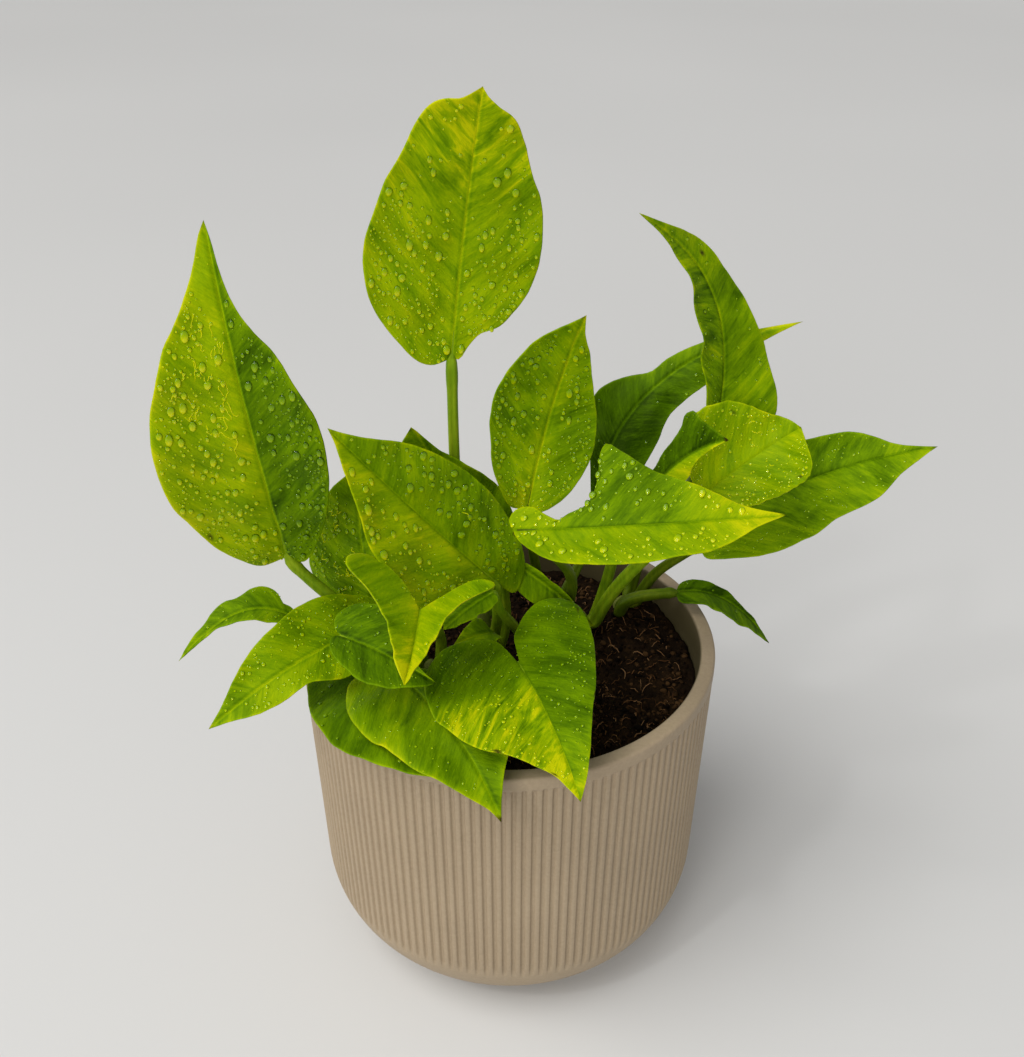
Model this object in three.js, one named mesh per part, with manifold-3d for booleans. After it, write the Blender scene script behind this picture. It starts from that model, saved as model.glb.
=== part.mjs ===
// A potted pothos: fluted pot, soil, six short stems, and leaf blades on their stalks.
// Millimetres. The pot's underside is on z = 0, X runs right, Y away from the viewer, Z up.
import * as THREE from "three";
import Module from "manifold-3d";

const wasm = await Module();
wasm.setup();

const GAP = 0.35;

const POT_HEIGHT = 118;
const POT_TOP_RADIUS = 70;
const POT_WALL_FOOT_RADIUS = 67.9;
const POT_CORNER_RADIUS = 34;
const POT_WALL = 5;
const POT_FLOOR = 7;
const POT_EDGE = 1;
const ROUND_STEPS = 72;

const FLUTES = 140;
const FLUTE_DEPTH = 0.9;
const FLUTE_LOW = 27;
const FLUTE_HIGH = 113.5;

const SOIL_TOP = 101;
const SOIL_MOUND = { x: 46, y: 34, height: 6.5, spread: 36 };
const SOIL_RINGS = 5;
const SOIL_STEPS = 40;
const SOIL_BUMP = 1.2;

const STEM_RADIUS = 2.8;
const STEM_DEPTH = 26;
const STEM_SIDES = 10;
const STALK_SIDES = 7;
const STALK_STEPS = 9;
const STALK_GIRTH = [1.9, 1.35];
const STALK_LEAN = 0.35;
const STALK_GAP = 1.5;

const BLADE_THICKNESS = 0.9;
const BLADE_RIB = 0.9;
const BLADE_ROWS = 12;
const BLADE_COLUMNS = 3;
const BLADE_SWEEP = 1.4;
const CURL_SPAN = 20;

// Each stem: where it leaves the soil, how far it rises and which way it leans.
const STEMS = {
  right: { foot: [41, 31], rise: 3.5, lean: [1, 1] },
  inner_right: { foot: [25, 20], rise: 8, lean: [1, -1] },
  middle: { foot: [10, 8], rise: 14, lean: [1, 2] },
  centre: { foot: [-8, 12], rise: 24, lean: [-1, -2] },
  left: { foot: [-34, -4], rise: 22, lean: [-2, 0] },
  front: { foot: [-25, -14], rise: 18, lean: [-1, -2] },
};

// Each leaf: the midrib runs from base through mid to tip, face is the way its upper side looks.
// left and right list the margin as [millimetres across, share of the length along]; fold lifts
// each half in degrees, and curl bends it further over every 20 mm. stalk names the stem, the
// height and the side of it that the stalk leaves from, end is the stalk's last direction, and girth
// gives its radius at the foot and the top where it isn't the usual one.
const LEAVES = {
  tall: {
    base: [-18, 18, 213], mid: [-13, 22, 255], tip: [-7, 14, 295.6], face: [0.1, -1, 0.15],
    fold: [5, 5], curl: [0, 0],
    left: [[6, -0.03], [11, -0.015], [16.5, 0.04], [22.5, 0.115], [26.5, 0.19], [29, 0.29], [29.5, 0.4],
      [26, 0.58], [19.5, 0.78], [16, 0.88], [13, 0.93], [10, 0.95], [5.5, 0.96], [2.5, 0.98]],
    right: [[2.5, 0], [5, 0.05], [8, 0.1], [14, 0.14], [18, 0.2], [21.5, 0.27], [23.5, 0.36], [23.5, 0.5],
      [21.5, 0.62], [17.5, 0.72], [14, 0.82], [10.5, 0.9], [5.5, 0.94], [2, 0.97]],
    stalk: { stem: "centre", height: 14, side: 130 }, end: [0, 0, 1], girth: [2, 1.65],
  },
  left_tall: {
    base: [-70, -12, 158], mid: [-75, -22, 216], tip: [-82, -12, 266.5], face: [0.15, -1, 0.15],
    fold: [8, 12], curl: [0, 0],
    left: [[8.5, 0], [14, 0.05], [20, 0.12], [25, 0.23], [28, 0.32], [28.5, 0.44], [26.5, 0.54],
      [21.5, 0.65], [17.5, 0.72], [14, 0.76], [9, 0.83], [5, 0.9], [2.5, 0.96]],
    right: [[5.5, -0.01], [13.5, 0.11], [19, 0.27], [20.5, 0.39], [19.5, 0.48], [16, 0.58], [12, 0.66],
      [7.5, 0.72], [3, 0.81], [1.5, 0.88], [1, 0.94]],
    stalk: { stem: "left", height: 13, side: 190 }, end: [-0.6, -0.1, 1], girth: [2.2, 1.75],
  },
  centre: {
    base: [-4, -10, 147], mid: [-30, -20, 182], tip: [-51, -28, 212], face: [0.1, -0.8, 0.6],
    fold: [14, 14], curl: [0, 0],
    left: [[10, 0.02], [21, 0.16], [23, 0.36], [20, 0.54], [13, 0.7], [7, 0.82], [2, 0.93]],
    right: [[1, -0.1], [9, -0.06], [16, 0.1], [20, 0.34], [17, 0.62], [10, 0.8], [3, 0.93]],
    stalk: { stem: "centre", height: 9, side: -60 }, end: [0, -0.1, 1],
  },
  rear_middle: {
    base: [-11, 14, 141], mid: [-20, 16, 168], tip: [-31, 10, 193], face: [0, -1, 0.4],
    fold: [8, 8], curl: [0, 0],
    left: [[7.5, 0.03], [13.5, 0.3], [12.5, 0.62], [8.5, 0.89], [6.5, 0.94], [2, 0.98]],
    right: [[10.5, 0.04], [16.5, 0.18], [16, 0.35], [12, 0.52], [8.5, 0.61], [5, 0.7], [2.5, 0.8]],
    stalk: { stem: "centre", height: 19, side: 60 }, end: [0, 0.1, 1],
  },
  rear_left: {
    base: [-45, 0, 131], mid: [-49, 6, 153], tip: [-49, 12, 177], face: [-0.25, -1, 0.35],
    fold: [6, 6], curl: [-15, 0],
    left: [[9, -0.04], [18, 0.08], [20, 0.24], [19, 0.42], [15, 0.64], [9, 0.84], [4, 0.94]],
    right: [[9, 0.02], [15, 0.26], [15, 0.58], [9, 0.84], [4, 0.96]],
    stalk: { stem: "left", height: 17, side: 120 }, end: [0, 0.2, 1],
  },
  middle_upright: {
    base: [6, 8, 164], mid: [14, 14, 199], tip: [23, 4, 233], face: [0.1, -1, 0.25],
    fold: [8, 14], curl: [0, 0],
    left: [[6, 0], [10.5, 0.07], [14.5, 0.17], [17, 0.29], [19, 0.38], [19.5, 0.51], [18.5, 0.59],
      [16.5, 0.69], [13, 0.78], [7.5, 0.88], [3, 0.95]],
    right: [[2.5, -0.01], [6, 0.01], [11, 0.08], [14, 0.16], [16, 0.26], [16.5, 0.36], [14.5, 0.5],
      [10.5, 0.64], [5.5, 0.8], [2, 0.9]],
    stalk: { stem: "middle", height: 12, side: 90 }, end: [-0.1, 0.2, 1],
  },
  bright: {
    base: [1.3, -27, 177.6], mid: [37.5, -38.5, 186.4], tip: [78, -42, 192], face: [0, -0.55, 0.85],
    fold: [12, 8], curl: [0, 0],
    left: [[3, -0.02], [7, 0.01], [7.5, 0.06], [4.5, 0.13], [2.5, 0.19], [4.5, 0.22], [7.5, 0.29],
      [14, 0.33], [23.5, 0.34], [25.5, 0.36], [22, 0.43], [16.5, 0.53], [10.5, 0.7], [3, 0.88]],
    right: [[2.5, 0.02], [6.5, 0.08], [11, 0.17], [12.5, 0.27], [13.5, 0.36], [12.5, 0.53], [11, 0.69],
      [7.5, 0.81], [3.5, 0.9]],
    stalk: { stem: "middle", height: 8, side: -2 }, end: [-0.8, -0.1, 0.6],
  },
  folded: {
    base: [-26, -43, 160], mid: [-27, -58, 157.4], tip: [-28.7, -72, 155], face: [0, -0.2, 1],
    fold: [28, 42], curl: [-15, -10],
    left: [[4, -0.06], [9, -0.13], [14, -0.2], [18, -0.23], [21, -0.21], [23.5, -0.13], [18, 0], [13, 0.1],
      [9.5, 0.25], [6.5, 0.48], [3.5, 0.73]],
    right: [[3, -0.07], [6.5, -0.18], [10.5, -0.28], [14.5, -0.36], [19, -0.37], [23, -0.31], [26, -0.19],
      [25.5, -0.05], [21, 0.03], [16.5, 0.14], [12, 0.3], [9, 0.5], [5, 0.79]],
    stalk: { stem: "front", height: 14, side: 60 }, end: [0.1, -0.5, 1],
  },
  under_middle: {
    base: [-4.8, -28, 155.9], mid: [-12.3, -34, 154.2], tip: [-19.8, -38, 148.9], face: [0, -0.5, 1],
    fold: [10, 10], curl: [0, 0],
    left: [[3, 0.03], [5, 0.24], [4.5, 0.48], [3.5, 0.7], [2, 0.86]],
    right: [[5.5, 0.03], [6, 0.32], [6, 0.59], [3.5, 0.83]],
    stalk: { stem: "middle", height: 5, side: 215 }, end: [-0.2, -0.4, 1],
  },
  front_small: {
    base: [-52, -34, 144], mid: [-37, -46, 146], tip: [-21, -56, 143], face: [-0.1, -0.4, 1],
    fold: [10, 10], curl: [0, 0],
    left: [[2.5, -0.12], [6, -0.17], [10.5, -0.09], [12.5, 0.08], [13.5, 0.26], [8.5, 0.5], [1.5, 0.81]],
    right: [[2, -0.05], [5, 0.02], [8, 0.14], [10.5, 0.34], [11.5, 0.51], [10.5, 0.69], [6, 0.86],
      [2.5, 0.96]],
    stalk: { stem: "left", height: 8, side: 330 }, end: [-0.8, -0.55, 0.4],
  },
  left_low: {
    base: [-43, -12, 131], mid: [-65, -34, 134], tip: [-92, -50, 120], face: [-0.1, -0.7, 0.7],
    fold: [8, 8], curl: [0, 0],
    left: [[8, 0.11], [12.5, 0.31], [11, 0.42], [8.5, 0.5], [8.5, 0.58], [7.5, 0.75], [6, 0.81],
      [2.5, 0.91]],
    right: [[6.5, -0.11], [10.5, -0.03], [13, 0.1], [15, 0.23], [15.5, 0.36], [13.5, 0.49], [11, 0.64],
      [6.5, 0.78], [3, 0.88]],
    stalk: { stem: "left", height: 12, side: 250 }, end: [-0.5, -0.5, 1],
  },
  far_left: {
    base: [-70, -4, 126], mid: [-88, -6, 133], tip: [-110, -14, 118], face: [-0.1, -0.4, 1],
    fold: [10, 6], curl: [0, 0],
    left: [[4, 0.11], [6, 0.3], [5, 0.42], [3, 0.57], [1.5, 0.72], [1, 0.86]],
    right: [[3, 0.11], [3.5, 0.18], [6.5, 0.22], [8, 0.27], [7.5, 0.35], [5.5, 0.45], [6, 0.54], [4, 0.66],
      [2.5, 0.78]],
    stalk: { stem: "left", height: 6, side: 158 }, end: [-1, 0, 0.7],
  },
  rim_dark: {
    base: [-34, -34, 128], mid: [-14, -66, 129], tip: [-2, -84, 115], face: [-0.15, -0.45, 1],
    fold: [6, 6], curl: [0, 0],
    left: [[4, 0.02], [7, 0.1], [11, 0.3], [13, 0.52], [12, 0.7], [6, 0.82], [2, 0.92]],
    right: [[4, -0.18], [12, -0.2], [18, -0.08], [21, 0.08], [21, 0.26], [18, 0.46], [14, 0.64], [6, 0.84], [2, 0.93]],
    stalk: { stem: "front", height: 6, side: 270 }, end: [0.2, -0.5, 0.8],
  },
  rim_light: {
    base: [-43, -32, 121], mid: [-35, -56, 123], tip: [-20, -73, 122], face: [-0.1, -0.2, 1],
    fold: [6, 6], curl: [0, 0],
    left: [[6, 0.05], [9, 0.3], [9, 0.6], [5, 0.85]],
    right: [[7, -0.24], [14, -0.34], [20, -0.28], [21, -0.04], [20, 0.2], [16, 0.44], [10, 0.66], [5, 0.84]],
    stalk: { stem: "front", height: 4, side: 210 }, end: [-0.6, -0.4, 0.6],
  },
  heart: {
    base: [3, -40, 138], mid: [13, -68, 136], tip: [20, -88, 127], face: [0, -0.55, 1],
    fold: [8, 8], curl: [0, 0],
    left: [[1.5, -0.05], [2.5, -0.2], [5, -0.29], [10.5, -0.39], [17, -0.42], [22.5, -0.36], [25.5, -0.25],
      [25.5, -0.08], [23, 0.12], [18.5, 0.34], [14, 0.5], [8.5, 0.71], [4, 0.88]],
    right: [[1, -0.06], [2.5, -0.25], [6.5, -0.32], [11, -0.34], [18.5, -0.31], [25, -0.2], [29, -0.07],
      [31, 0.1], [30.5, 0.33], [27.5, 0.44], [24, 0.53], [20, 0.6], [14.5, 0.68], [9, 0.76], [4.5, 0.84],
      [2.5, 0.91]],
    stalk: { stem: "front", height: 5, side: -20 }, end: [0, -0.4, 0.9],
  },
  rear_dark: {
    base: [29, 26, 147], mid: [48, 44, 189], tip: [98, 46, 214], face: [0.1, -0.8, 0.5],
    fold: [-10, 10], curl: [0, 0],
    left: [[3, 0.14], [8.5, 0.28], [14, 0.37], [12, 0.42], [8.5, 0.47], [5, 0.52], [5, 0.58], [4, 0.69],
      [1.5, 0.84]],
    right: [[6, 0], [10, 0.1], [12.5, 0.18], [13.5, 0.31], [13, 0.37], [10.5, 0.47], [10, 0.57],
      [9.5, 0.65], [3.5, 0.86]],
    stalk: { stem: "middle", height: 10, side: 40 }, end: [0.2, 0.3, 1],
  },
  curled: {
    base: [68, 22, 189], mid: [65, 30, 228], tip: [38, 16, 259.8], face: [0.2, -0.9, 0.3],
    fold: [30, 5], curl: [0, 0],
    left: [[5, 0.02], [9, 0.17], [10.5, 0.37], [9.5, 0.52], [8, 0.61], [5, 0.69], [3, 0.81], [1.5, 0.91]],
    right: [[10.5, -0.03], [17, 0], [19, 0.06], [18, 0.13], [15.5, 0.2], [13, 0.29], [11, 0.35],
      [9.5, 0.43], [8, 0.49], [6.5, 0.58], [6, 0.68], [4, 0.78], [1.5, 0.89]],
    stalk: { stem: "right", height: 4, side: 60 }, end: [0.1, 0, 1], girth: [2.3, 1.5],
  },
  cupped: {
    base: [60, -8, 178], mid: [77, 0, 188], tip: [90, 0, 198], face: [-0.1, -0.8, 0.7],
    fold: [10, 10], curl: [20, -10],
    left: [[7, 0.02], [15, 0.14], [21, 0.28], [22, 0.44], [21, 0.56], [17, 0.7], [9, 0.84], [4, 0.94]],
    right: [[5, -0.02], [10, 0.14], [14, 0.42], [15, 0.62], [15, 0.82], [12, 0.96], [6, 1]],
    stalk: { stem: "inner_right", height: 7, side: -30 }, end: [0.6, 0, 1], girth: [2.4, 1.8],
  },
  small_dark: {
    base: [44, -14, 185], mid: [54, -14, 196], tip: [64, -20, 204], face: [-0.2, -0.9, 0.5],
    fold: [10, 10], curl: [0, 0],
    left: [[3, 0.06], [4, 0.19], [5.5, 0.33], [6.5, 0.47], [9, 0.62], [11, 0.67], [11, 0.76], [8.5, 0.78],
      [4.5, 0.86]],
    right: [[5.5, 0.05], [5.5, 0.33], [4, 0.44], [2.5, 0.61], [1.5, 0.79]],
    stalk: { stem: "inner_right", height: 5, side: 20 }, end: [0.5, -0.3, 1], girth: [2.1, 1.4],
  },
  right_long: {
    base: [64, 10, 149], mid: [98, 20, 167], tip: [138, 12, 185], face: [0, -0.7, 0.75],
    fold: [10, 10], curl: [0, 0],
    left: [[6, 0.06], [12, 0.2], [14, 0.38], [13, 0.54], [11, 0.7], [8, 0.77], [3.5, 0.85], [1.5, 0.92]],
    right: [[5, -0.02], [10.5, 0.04], [14, 0.11], [16, 0.18], [18.5, 0.31], [18.5, 0.42], [16.5, 0.54],
      [15, 0.67], [12.5, 0.77], [6.5, 0.87], [3, 0.94]],
    stalk: { stem: "right", height: 3, side: -5 }, end: [0.8, -0.4, 1], girth: [2.1, 1.5],
  },
  right_small: {
    base: [59, 19, 123], mid: [76, 16, 122], tip: [92, 9, 108], face: [0.2, -0.3, 1],
    fold: [14, 14], curl: [0, 0],
    left: [[3.5, 0.05], [4.5, 0.19], [4, 0.37], [2, 0.6], [1, 0.8]],
    right: [[5, 0.02], [7, 0.12], [8, 0.28], [8, 0.53], [4.5, 0.78]],
    stalk: { stem: "right", height: 2, side: -105 }, end: [1, -0.3, 0.3], girth: [2.4, 1.7],
  },
  inner_strip: {
    base: [0, -1, 150], mid: [14, -5, 141], tip: [29, 0, 122], face: [-0.3, -0.8, 0.4],
    fold: [10, 10], curl: [0, 0],
    left: [[2, 0.1], [2.5, 0.4], [1.5, 0.75]],
    right: [[3, 0.04], [7, 0.2], [7, 0.45], [4, 0.72]],
    stalk: { stem: "centre", height: 3, side: 10 }, end: [0.3, -0.5, 1],
  },
  young: {
    base: [-5, -8, 125], mid: [-10, -14, 129], tip: [-18, -18, 128], face: [-0.1, -0.5, 1],
    fold: [14, 14], curl: [0, 0],
    left: [[3, 0.05], [5, 0.3], [4, 0.65]],
    right: [[3, 0.05], [6, 0.3], [4, 0.65]],
    stalk: { stem: "centre", height: 3, side: -95 }, end: [0, -0.3, 1],
  },
};

const POT_COLOUR = 0xb5a48e;
const SOIL_COLOUR = 0x2a1d14;
const STEM_COLOUR = 0x6f7d2b;
const STALK_COLOUR = 0x86a52c;
const BLADE_COLOUR = 0x5f9a1e;

function vector(values) {
  return new THREE.Vector3(...values);
}

function radians(degrees) {
  return THREE.MathUtils.degToRad(degrees);
}

function indexed(points, faces) {
  const geometry = new THREE.BufferGeometry();
  geometry.setAttribute("position", new THREE.Float32BufferAttribute(points.flatMap((p) => p.toArray()), 3));
  geometry.setIndex(faces.flat());
  return geometry;
}

function solid(geometry) {
  const position = geometry.getAttribute("position");
  const mesh = new wasm.Mesh({
    numProp: 3,
    vertProperties: new Float32Array(position.array),
    triVerts: new Uint32Array(geometry.getIndex().array),
  });
  return new wasm.Manifold(mesh);
}

function shell(body) {
  const mesh = body.getMesh();
  const geometry = new THREE.BufferGeometry();
  geometry.setAttribute("position", new THREE.BufferAttribute(Float32Array.from(mesh.vertProperties), 3));
  geometry.setIndex(new THREE.BufferAttribute(Uint32Array.from(mesh.triVerts), 1));
  return geometry;
}

// A closed body of stacked rings, each ring a list of points running counter-clockwise from above.
function stacked(rings, bottom, top) {
  const size = rings[0].length;
  const points = [...rings.flat(), bottom, top];
  const bottomIndex = points.length - 2;
  const topIndex = points.length - 1;
  const faces = [];
  for (let k = 0; k < size; k += 1) {
    const next = (k + 1) % size;
    faces.push([bottomIndex, next, k]);
    for (let row = 0; row < rings.length - 1; row += 1) {
      const a = row * size;
      faces.push([a + k, a + next, a + size + next], [a + k, a + size + next, a + size + k]);
    }
    const last = (rings.length - 1) * size;
    faces.push([topIndex, last + k, last + next]);
  }
  return indexed(points, faces);
}

// A round body from [radius, height] pairs; depthAt thins the radius at each step round it.
function turned(profile, steps, depthAt = () => 0) {
  const rings = profile.map(([radius, z]) => Array.from({ length: steps }, (_, k) => {
    const angle = (2 * Math.PI * k) / steps;
    const r = radius - depthAt(k);
    return new THREE.Vector3(r * Math.cos(angle), r * Math.sin(angle), z);
  }));
  const low = profile[0][1];
  const high = profile[profile.length - 1][1];
  return stacked(rings, new THREE.Vector3(0, 0, low), new THREE.Vector3(0, 0, high));
}

function cornerArc(wallRadius, corner, floor, fromDegrees, toDegrees, steps) {
  return Array.from({ length: steps + 1 }, (_, k) => {
    const angle = radians(fromDegrees + ((toDegrees - fromDegrees) * k) / steps);
    return [wallRadius - corner + corner * Math.sin(angle), floor + corner - corner * Math.cos(angle)];
  });
}

function wallRadius(z) {
  const share = (z - POT_CORNER_RADIUS) / (POT_HEIGHT - POT_CORNER_RADIUS);
  return POT_WALL_FOOT_RADIUS + (POT_TOP_RADIUS - POT_WALL_FOOT_RADIUS) * share;
}

function potFoot() {
  const arc = cornerArc(POT_WALL_FOOT_RADIUS, POT_CORNER_RADIUS, 0, 0, 90, 6);
  const below = arc.filter(([, z]) => z < FLUTE_LOW);
  return solid(turned([...below, [wallRadius(FLUTE_LOW) - 0.3, FLUTE_LOW + 0.5]], ROUND_STEPS));
}

function potFlutes() {
  const profile = [[wallRadius(FLUTE_LOW), FLUTE_LOW], [wallRadius(FLUTE_HIGH), FLUTE_HIGH]];
  return solid(turned(profile, FLUTES * 2, (k) => (k % 2) * FLUTE_DEPTH));
}

function potBand() {
  const profile = [
    [POT_TOP_RADIUS, FLUTE_HIGH - 0.5],
    [POT_TOP_RADIUS, POT_HEIGHT - POT_EDGE],
    [POT_TOP_RADIUS - POT_EDGE, POT_HEIGHT],
  ];
  return solid(turned(profile, ROUND_STEPS));
}

function cavityRadius(z) {
  return wallRadius(z) - POT_WALL;
}

function potCavity() {
  const corner = POT_CORNER_RADIUS - POT_WALL;
  const arc = cornerArc(cavityRadius(POT_CORNER_RADIUS), corner, POT_FLOOR, 0, 90, 4);
  const mouth = [
    [cavityRadius(POT_HEIGHT - POT_EDGE), POT_HEIGHT - POT_EDGE],
    [cavityRadius(POT_HEIGHT) + POT_EDGE, POT_HEIGHT],
    [cavityRadius(POT_HEIGHT) + POT_EDGE, POT_HEIGHT + POT_EDGE],
  ];
  return solid(turned([...arc, ...mouth], ROUND_STEPS));
}

function potBody() {
  return shell(potFoot().add(potFlutes()).add(potBand()).subtract(potCavity()));
}

function soilHeight(x, y) {
  const away = Math.hypot(x - SOIL_MOUND.x, y - SOIL_MOUND.y) / SOIL_MOUND.spread;
  const mound = SOIL_MOUND.height * Math.exp(-away * away);
  return SOIL_TOP + mound + SOIL_BUMP * Math.sin(x * 0.11 + 1) * Math.cos(y * 0.13);
}

function soilBody(stems) {
  const corner = POT_CORNER_RADIUS - POT_WALL - GAP;
  const floor = POT_FLOOR + GAP;
  const arc = cornerArc(cavityRadius(POT_CORNER_RADIUS) - GAP, corner, floor, 0, 90, 4);
  const side = [...arc, [cavityRadius(SOIL_TOP) - GAP, SOIL_TOP - 4]];
  const ring = (radius, z) => Array.from({ length: SOIL_STEPS }, (_, k) => {
    const angle = (2 * Math.PI * k) / SOIL_STEPS;
    const x = radius * Math.cos(angle);
    const y = radius * Math.sin(angle);
    return new THREE.Vector3(x, y, z ?? soilHeight(x, y));
  });
  const rings = side.map(([radius, z]) => ring(radius, z));
  const inset = 1 / Math.cos(Math.PI / SOIL_STEPS);
  for (let k = 0; k < SOIL_RINGS; k += 1) {
    rings.push(ring(((cavityRadius(SOIL_TOP) - GAP) * (SOIL_RINGS - k)) / SOIL_RINGS / inset));
  }
  const body = solid(stacked(rings, new THREE.Vector3(0, 0, floor), new THREE.Vector3(0, 0, soilHeight(0, 0))));
  return shell(stems.reduce((rest, stem) => rest.subtract(stemSolid(stem, GAP)), body));
}

function swept(path, radii, sides) {
  const frames = path.map((_, k) => {
    const before = path[Math.max(k - 1, 0)];
    const after = path[Math.min(k + 1, path.length - 1)];
    return after.clone().sub(before).normalize();
  });
  let across = new THREE.Vector3(1, 0, 0);
  const rings = path.map((point, k) => {
    const along = frames[k];
    across = across.clone().addScaledVector(along, -across.dot(along)).normalize();
    const third = along.clone().cross(across);
    return Array.from({ length: sides }, (_, j) => {
      const angle = (2 * Math.PI * j) / sides;
      return point.clone()
        .addScaledVector(across, radii[k] * Math.cos(angle))
        .addScaledVector(third, radii[k] * Math.sin(angle));
    });
  });
  return stacked(rings, path[0], path[path.length - 1]);
}

function stemPoint(stem, height) {
  const bend = Math.max(height, 0) / stem.rise;
  const [x, y] = stem.foot;
  return new THREE.Vector3(x + stem.lean[0] * bend, y + stem.lean[1] * bend, soilHeight(x, y) + height);
}

function stemGeometry(stem, extra) {
  const heights = [-STEM_DEPTH - extra, -8, 0, stem.rise * 0.5, stem.rise + extra];
  const radii = heights.map((height) => STEM_RADIUS + extra - Math.max(height, 0) * 0.04);
  return swept(heights.map((height) => stemPoint(stem, height)), radii, STEM_SIDES);
}

function stemSolid(stem, extra) {
  return solid(stemGeometry(stem, extra));
}

function midrib(leaf) {
  const [base, mid, tip] = [leaf.base, leaf.mid, leaf.tip].map(vector);
  const pull = mid.multiplyScalar(2).addScaledVector(base, -0.5).addScaledVector(tip, -0.5);
  return new THREE.QuadraticBezierCurve3(base, pull, tip);
}

// The point and the normal of a leaf's middle sheet, across millimetres out and along of its length.
function leafSurface(leaf) {
  const curve = midrib(leaf);
  const length = curve.getLength();
  const face = vector(leaf.face).normalize();
  return (side, across, along) => {
    const share = THREE.MathUtils.clamp(along, 0, 1);
    const point = curve.getPointAt(share);
    const tangent = curve.getTangentAt(share);
    point.addScaledVector(tangent, Math.min(along, 0) * length);
    const up = face.clone().addScaledVector(tangent, -face.dot(tangent)).normalize();
    const out = tangent.clone().cross(up).multiplyScalar(side);
    const half = side < 0 ? 0 : 1;
    const fold = radians(leaf.fold[half]);
    const curl = radians(leaf.curl[half] || 0.01) / CURL_SPAN;
    const angle = fold + curl * across;
    point.addScaledVector(out, (Math.sin(angle) - Math.sin(fold)) / curl);
    point.addScaledVector(up, (Math.cos(fold) - Math.cos(angle)) / curl);
    const normal = up.multiplyScalar(Math.cos(angle)).addScaledVector(out, -Math.sin(angle));
    return { point, normal };
  };
}

function margin(points) {
  const knots = [[0, 0], ...points, [0, 1]].map(([across, along]) => new THREE.Vector3(across, along * 50, 0));
  const curve = new THREE.CatmullRomCurve3(knots, false, "centripetal");
  return (share) => {
    const place = curve.getPointAt(share);
    return [place.x, place.y / 50];
  };
}

function bladeBody(leaf) {
  const surface = leafSurface(leaf);
  const edges = [margin(leaf.left), margin(leaf.right)];
  const columns = Array.from({ length: 2 * BLADE_COLUMNS + 1 }, (_, k) => k - BLADE_COLUMNS);
  const upper = [];
  const lower = [];
  for (let row = 1; row < BLADE_ROWS; row += 1) {
    const share = row / BLADE_ROWS;
    const inner = share ** BLADE_SWEEP;
    for (const column of columns) {
      const side = column < 0 ? -1 : 1;
      const out = Math.abs(column) / BLADE_COLUMNS;
      const [across, along] = edges[side < 0 ? 0 : 1](share);
      const { point, normal } = surface(side, across * out, inner * (1 - out) + along * out);
      if (column === 0) {
        normal.copy(surface(1, 0, inner).normal).add(surface(-1, 0, inner).normal).normalize();
      }
      const rise = out === 1 ? 0 : BLADE_THICKNESS / 2;
      const rib = column === 0 ? BLADE_RIB : rise;
      upper.push(point.clone().addScaledVector(normal, rise));
      lower.push(point.clone().addScaledVector(normal, -rib));
    }
  }
  const width = columns.length;
  const rows = BLADE_ROWS - 1;
  const points = [...upper, ...lower, surface(1, 0, 0).point, surface(1, 0, 1).point];
  const place = (sheet, row, column) => {
    if (row < 0) return 2 * rows * width;
    if (row >= rows) return 2 * rows * width + 1;
    const onEdge = column === 0 || column === width - 1;
    return (onEdge ? 0 : sheet) * rows * width + row * width + column;
  };
  const faces = [];
  for (const sheet of [0, 1]) {
    for (let row = -1; row < rows; row += 1) {
      for (let column = 0; column < width - 1; column += 1) {
        const a = place(sheet, row, column);
        const b = place(sheet, row, column + 1);
        const c = place(sheet, row + 1, column + 1);
        const d = place(sheet, row + 1, column);
        const pair = row < 0 ? [[a, c, d]] : row === rows - 1 ? [[a, b, c]] : [[a, b, c], [a, c, d]];
        faces.push(...pair.map((face) => (sheet === 0 ? face : face.reverse())));
      }
    }
  }
  return trimmed(points, faces);
}

// Drops the points that no face uses, so that the body has nothing loose in it.
function trimmed(points, faces) {
  const used = [...new Set(faces.flat())].sort((a, b) => a - b);
  const renamed = new Map(used.map((index, k) => [index, k]));
  return indexed(used.map((index) => points[index]), faces.map((face) => face.map((index) => renamed.get(index))));
}

function stalkBody(leaf) {
  const stem = STEMS[leaf.stalk.stem];
  const side = radians(leaf.stalk.side);
  const [footRadius, topRadius] = leaf.girth ?? STALK_GIRTH;
  const reach = STEM_RADIUS + footRadius + GAP;
  const outward = new THREE.Vector3(Math.cos(side), Math.sin(side), 0);
  const start = stemPoint(stem, leaf.stalk.height).addScaledVector(outward, reach);
  const last = vector(leaf.end).normalize();
  const finish = vector(leaf.base).addScaledVector(last, -STALK_GAP);
  const span = start.distanceTo(finish) * STALK_LEAN;
  const first = outward.clone().multiplyScalar(0.35).add(new THREE.Vector3(0, 0, 1)).normalize();
  const curve = new THREE.CubicBezierCurve3(
    start,
    start.clone().addScaledVector(first, span),
    finish.clone().addScaledVector(last, -span),
    finish,
  );
  const path = Array.from({ length: STALK_STEPS + 1 }, (_, k) => curve.getPointAt(k / STALK_STEPS));
  const radii = path.map((_, k) => footRadius + ((topRadius - footRadius) * k) / STALK_STEPS);
  return swept(path, radii, STALK_SIDES);
}

function named(name, geometry, colour) {
  geometry.computeVertexNormals();
  const mesh = new THREE.Mesh(geometry, new THREE.MeshStandardMaterial({ color: colour, roughness: 0.6 }));
  mesh.name = name;
  return mesh;
}

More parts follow.
